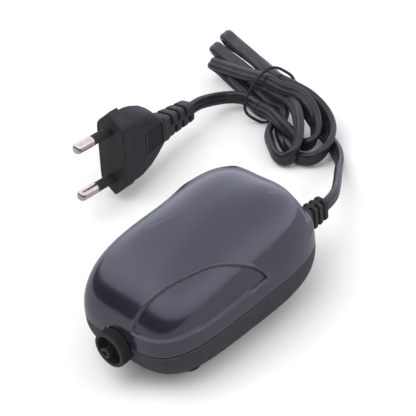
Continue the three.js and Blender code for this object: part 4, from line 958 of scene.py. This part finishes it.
def plug_relief():
    """The plug's bend relief: a tapered oblong with slots cut from alternate sides."""
    rows = []
    end = RELIEF_END
    for depth, half_long, half_side in ((26.6, 4.9, 4.6), (28.6, 4.9, 4.6), (29.0, 4.6, 4.2),
                                        (end - 1.2, 3.9, 3.4), (end - 0.4, 3.8, 3.3), (end, 3.5, 2.9)):
        section = rounded_rectangle(half_long, half_side, min(half_side * 0.5, 1.6))
        rows.append(on_plug(section[:, 0], section[:, 1], depth))
    relief = build("plug_relief", grid(np.array(rows)), PLUG_PLASTIC)
    tools = []
    outline = slot_outline(0.5, 7, 2.4, 1.8)
    for number in range(3):
        for half in (-1, 1):
            depth = 31.2 + 4.6 * number + (0 if half < 0 else 2.3)
            rows = [on_plug(half * outline[:, 0], outline[:, 1], edge)
                    for edge in (depth - 0.85, depth + 0.85)]
            tools.append(grid(np.array(rows)))
    return carve(relief, tools, 38, 0.22)


def plug_pins():
    for side, place in ((-1, "upper"), (1, "lower")):
        root = on_plug(side * PIN_SPACING / 2, 0.0, 0.0)
        shaft = [(PIN_RADIUS - 0.02 * (number % 2), at)
                 for number, at in enumerate(np.linspace(SLEEVE_LENGTH + 0.4, PIN_LENGTH - 1.7, 12))]
        dome = [(PIN_RADIUS * math.cos(t) * 0.62 + PIN_RADIUS * 0.38 * math.cos(t) ** 0.5,
                 PIN_LENGTH - 1.5 + 1.5 * math.sin(t)) for t in np.linspace(0, math.pi / 2 - 0.001, 9)]
        profile = [(0, -7), (1.3, -7), (1.3, SLEEVE_LENGTH + 0.2), (PIN_RADIUS - 0.15, SLEEVE_LENGTH + 0.25),
                   *shaft, *dome, (0, PIN_LENGTH)]
        build(f"pin_metal_{place}", lathe(profile, root, PIN_AXIS, 72), NICKEL,
              stands_for=[f"plug_pin_{place}"])
        sleeve = [(1.5, -0.1), (2.15, -0.1), (2.0, 0.4), (1.95, 1.0), (1.93, SLEEVE_LENGTH - 0.3),
                  (1.8, SLEEVE_LENGTH), (1.5, SLEEVE_LENGTH)]
        build(f"pin_insulator_{place}", lathe(sleeve, root, PIN_AXIS, 64), RUBBER,
              stands_for=[f"pin_sleeve_{place}"])


# ---- inside ---------------------------------------------------------------------------------
INNER_FINISH = (
    (NYLON, ("chamber_block", "valve_plate", "chamber_cup", "diaphragm_clamp", "diaphragm_boss", "swing_arm",
             "magnet_holder", "coil_bobbin", "cord_clamp")),
    (ZINC, ("diaphragm_plate", "diaphragm_screw", "pivot_clip", "magnet_screw", "core_strap",
            "core_screw_left", "core_screw_right", "chamber_screw_front_low", "chamber_screw_front_high",
            "chamber_screw_rear_low", "chamber_screw_rear_high")),
    (ORANGE, ("intake_valve", "exhaust_valve", "diaphragm", "pivot_bush", "splice_sleeve_left",
              "splice_sleeve_right")),
    (VINYL, ("lead_wire_left", "lead_wire_right")),
    (RUBBER, ("outlet_o_ring",)),
    (HOSE, ("outlet_hose",)),
    (FERRITE, ("magnet",)),
    (STEEL, ("iron_core",)),
    (COPPER, ("coil_winding",)),
    (TAPE, ("coil_tape",)),
)


def inner_parts():
    """The mechanism keeps its CAD shapes, with softened edges and real finishes."""
    for material, names in INNER_FINISH:
        for name in names:
            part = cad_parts[name]
            part.data.materials.clear()
            part.data.materials.append(material)
            rounding = part.modifiers.new("rounding", "BEVEL")
            rounding.width = 0.15 * MM
            rounding.segments = 2
            rounding.limit_method = "ANGLE"
            rounding.angle_limit = math.radians(40)


# ---- stage ----------------------------------------------------------------------------------
CAMERA_AZIMUTH = math.radians(47.3)
CAMERA_ELEVATION = math.radians(37)
CAMERA_ROLL = math.radians(-6.1)
CAMERA_DISTANCE = 600
CAMERA_TARGET = np.array([-20.9, 24.3, 20.0]) - LIFT
LENS = 150.4
BRIGHT_SIDE = (0.0, 0.45, 0.89)   # the room seen in the gloss brightens this way: up and behind the pump


def towards(azimuth, elevation):
    return np.array([math.sin(azimuth) * math.cos(elevation), -math.cos(azimuth) * math.cos(elevation),
                     math.sin(elevation)])


def camera():
    back = towards(CAMERA_AZIMUTH, CAMERA_ELEVATION)
    right = np.array([math.cos(CAMERA_AZIMUTH), math.sin(CAMERA_AZIMUTH), 0])
    up = np.cross(back, right)
    rolled_right = math.cos(CAMERA_ROLL) * right + math.sin(CAMERA_ROLL) * up
    rolled_up = -math.sin(CAMERA_ROLL) * right + math.cos(CAMERA_ROLL) * up
    data = bpy.data.cameras.new("camera")
    data.lens = LENS
    data.sensor_width = 36
    data.clip_start, data.clip_end = 0.01, 20
    eye = bpy.data.objects.new("camera", data)
    scene.collection.objects.link(eye)
    place = Matrix.Identity(4)
    for column, vector in enumerate((rolled_right, rolled_up, back)):
        for row in range(3):
            place[row][column] = vector[row]
    place.translation = Vector((CAMERA_TARGET + back * CAMERA_DISTANCE) * MM)
    eye.matrix_world = place
    scene.camera = eye


def softbox(name, azimuth, elevation, distance, width, height, power):
    """A rectangular light facing the object."""
    data = bpy.data.lights.new(name, "AREA")
    data.shape = "RECTANGLE"
    data.size, data.size_y = width, height
    data.energy = power
    light = bpy.data.objects.new(name, data)
    light.visible_glossy = False
    scene.collection.objects.link(light)
    back = Vector(towards(math.radians(azimuth), math.radians(elevation)))
    light.location = Vector(CAMERA_TARGET * MM) + back * distance
    light.rotation_mode = "QUATERNION"
    light.rotation_quaternion = back.to_track_quat("Z", "Y")


def paper_floor():
    """Pale paper, painted darker and bluish for glossy rays alone: a painted reflection of a dark floor in
    the gloss.
    """
    reach = 3.0
    corners = [(x * reach, y * reach, -LIFT[2] * MM) for x, y in ((-1, -1), (1, -1), (1, 1), (-1, 1))]
    mesh = bpy.data.meshes.new("floor")
    mesh.from_pydata(corners, [], [(0, 1, 2, 3)])
    sheet = bpy.data.objects.new("floor", mesh)
    scene.collection.objects.link(sheet)
    s = Shader("floor_paper")
    paper = s.mix(s.spread(s.noise(60, 3), 0, 1), (0.90, 0.90, 0.905), (0.92, 0.92, 0.92))
    mirrored = s.node("ShaderNodeLightPath").outputs["Is Glossy Ray"]
    # painted reflection: glossy rays see the paper dark and bluish instead of its own pale colour
    s.color(s.mix(mirrored, paper, (0.42, 0.42, 0.48)))
    s.roughness(s.spread(s.noise(30, 3), 0.75, 0.85))
    mesh.materials.append(s.material)


def room():
    """White light all round; the gloss sees a room that is dark in front and bright above and behind."""
    world = bpy.data.worlds.new("studio")
    scene.world = world
    world.use_nodes = True
    tree = world.node_tree
    tree.nodes.clear()
    node, link = tree.nodes.new, tree.links.new
    pale = node("ShaderNodeBackground")
    pale.inputs["Color"].default_value = (1, 1, 1, 1)
    pale.inputs["Strength"].default_value = 0.86
    brightness = node("ShaderNodeVectorMath")
    brightness.operation = "DOT_PRODUCT"
    brightness.inputs[1].default_value = BRIGHT_SIDE
    half = node("ShaderNodeMath")
    half.operation = "MULTIPLY_ADD"
    half.inputs[1].default_value = 0.5
    half.inputs[2].default_value = 0.5
    ramp = node("ShaderNodeValToRGB")
    stops = ((0.0, 0.03), (0.49, 0.04), (0.525, 0.2), (0.56, 0.95), (0.72, 1.35), (0.9, 1.0), (1.0, 0.9))
    for number, (at, level) in enumerate(stops):
        stop = ramp.color_ramp.elements[number] if number < 2 else ramp.color_ramp.elements.new(at)
        stop.position = at
        stop.color = (level, level * 1.01, level * 1.25, 1)
    mirrored = node("ShaderNodeBackground")
    mix = node("ShaderNodeMixShader")
    link(node("ShaderNodeTexCoord").outputs["Generated"], brightness.inputs[0])
    link(brightness.outputs["Value"], half.inputs[0])
    link(half.outputs[0], ramp.inputs["Fac"])
    link(ramp.outputs["Color"], mirrored.inputs["Color"])
    link(node("ShaderNodeLightPath").outputs["Is Glossy Ray"], mix.inputs["Fac"])
    link(pale.outputs[0], mix.inputs[1])
    link(mirrored.outputs[0], mix.inputs[2])
    link(mix.outputs[0], node("ShaderNodeOutputWorld").inputs["Surface"])


def studio():
    paper_floor()
    room()
    softbox("key", azimuth=-30, elevation=66, distance=1.1, width=1.0, height=1.0, power=6.5)
    softbox("side", azimuth=129, elevation=30, distance=0.9, width=0.5, height=0.25, power=1.6)
    scene.view_settings.view_transform = "Standard"
    scene.view_settings.exposure = 0.0


# ---- assembly -------------------------------------------------------------------------------
top_cover()
base_shell()
feet()
for corner in CORNERS:
    screw(f"case_screw_head_{corner}", f"case_screw_{corner}", 2.2, 1.5, 1.2, (0, 0, 1))
inlet()
flow_knob()
outlet_nozzle()
cord_boot()
power_cord()
cord_tie()
plug_body()
plug_relief()
plug_pins()
inner_parts()
studio()
camera()
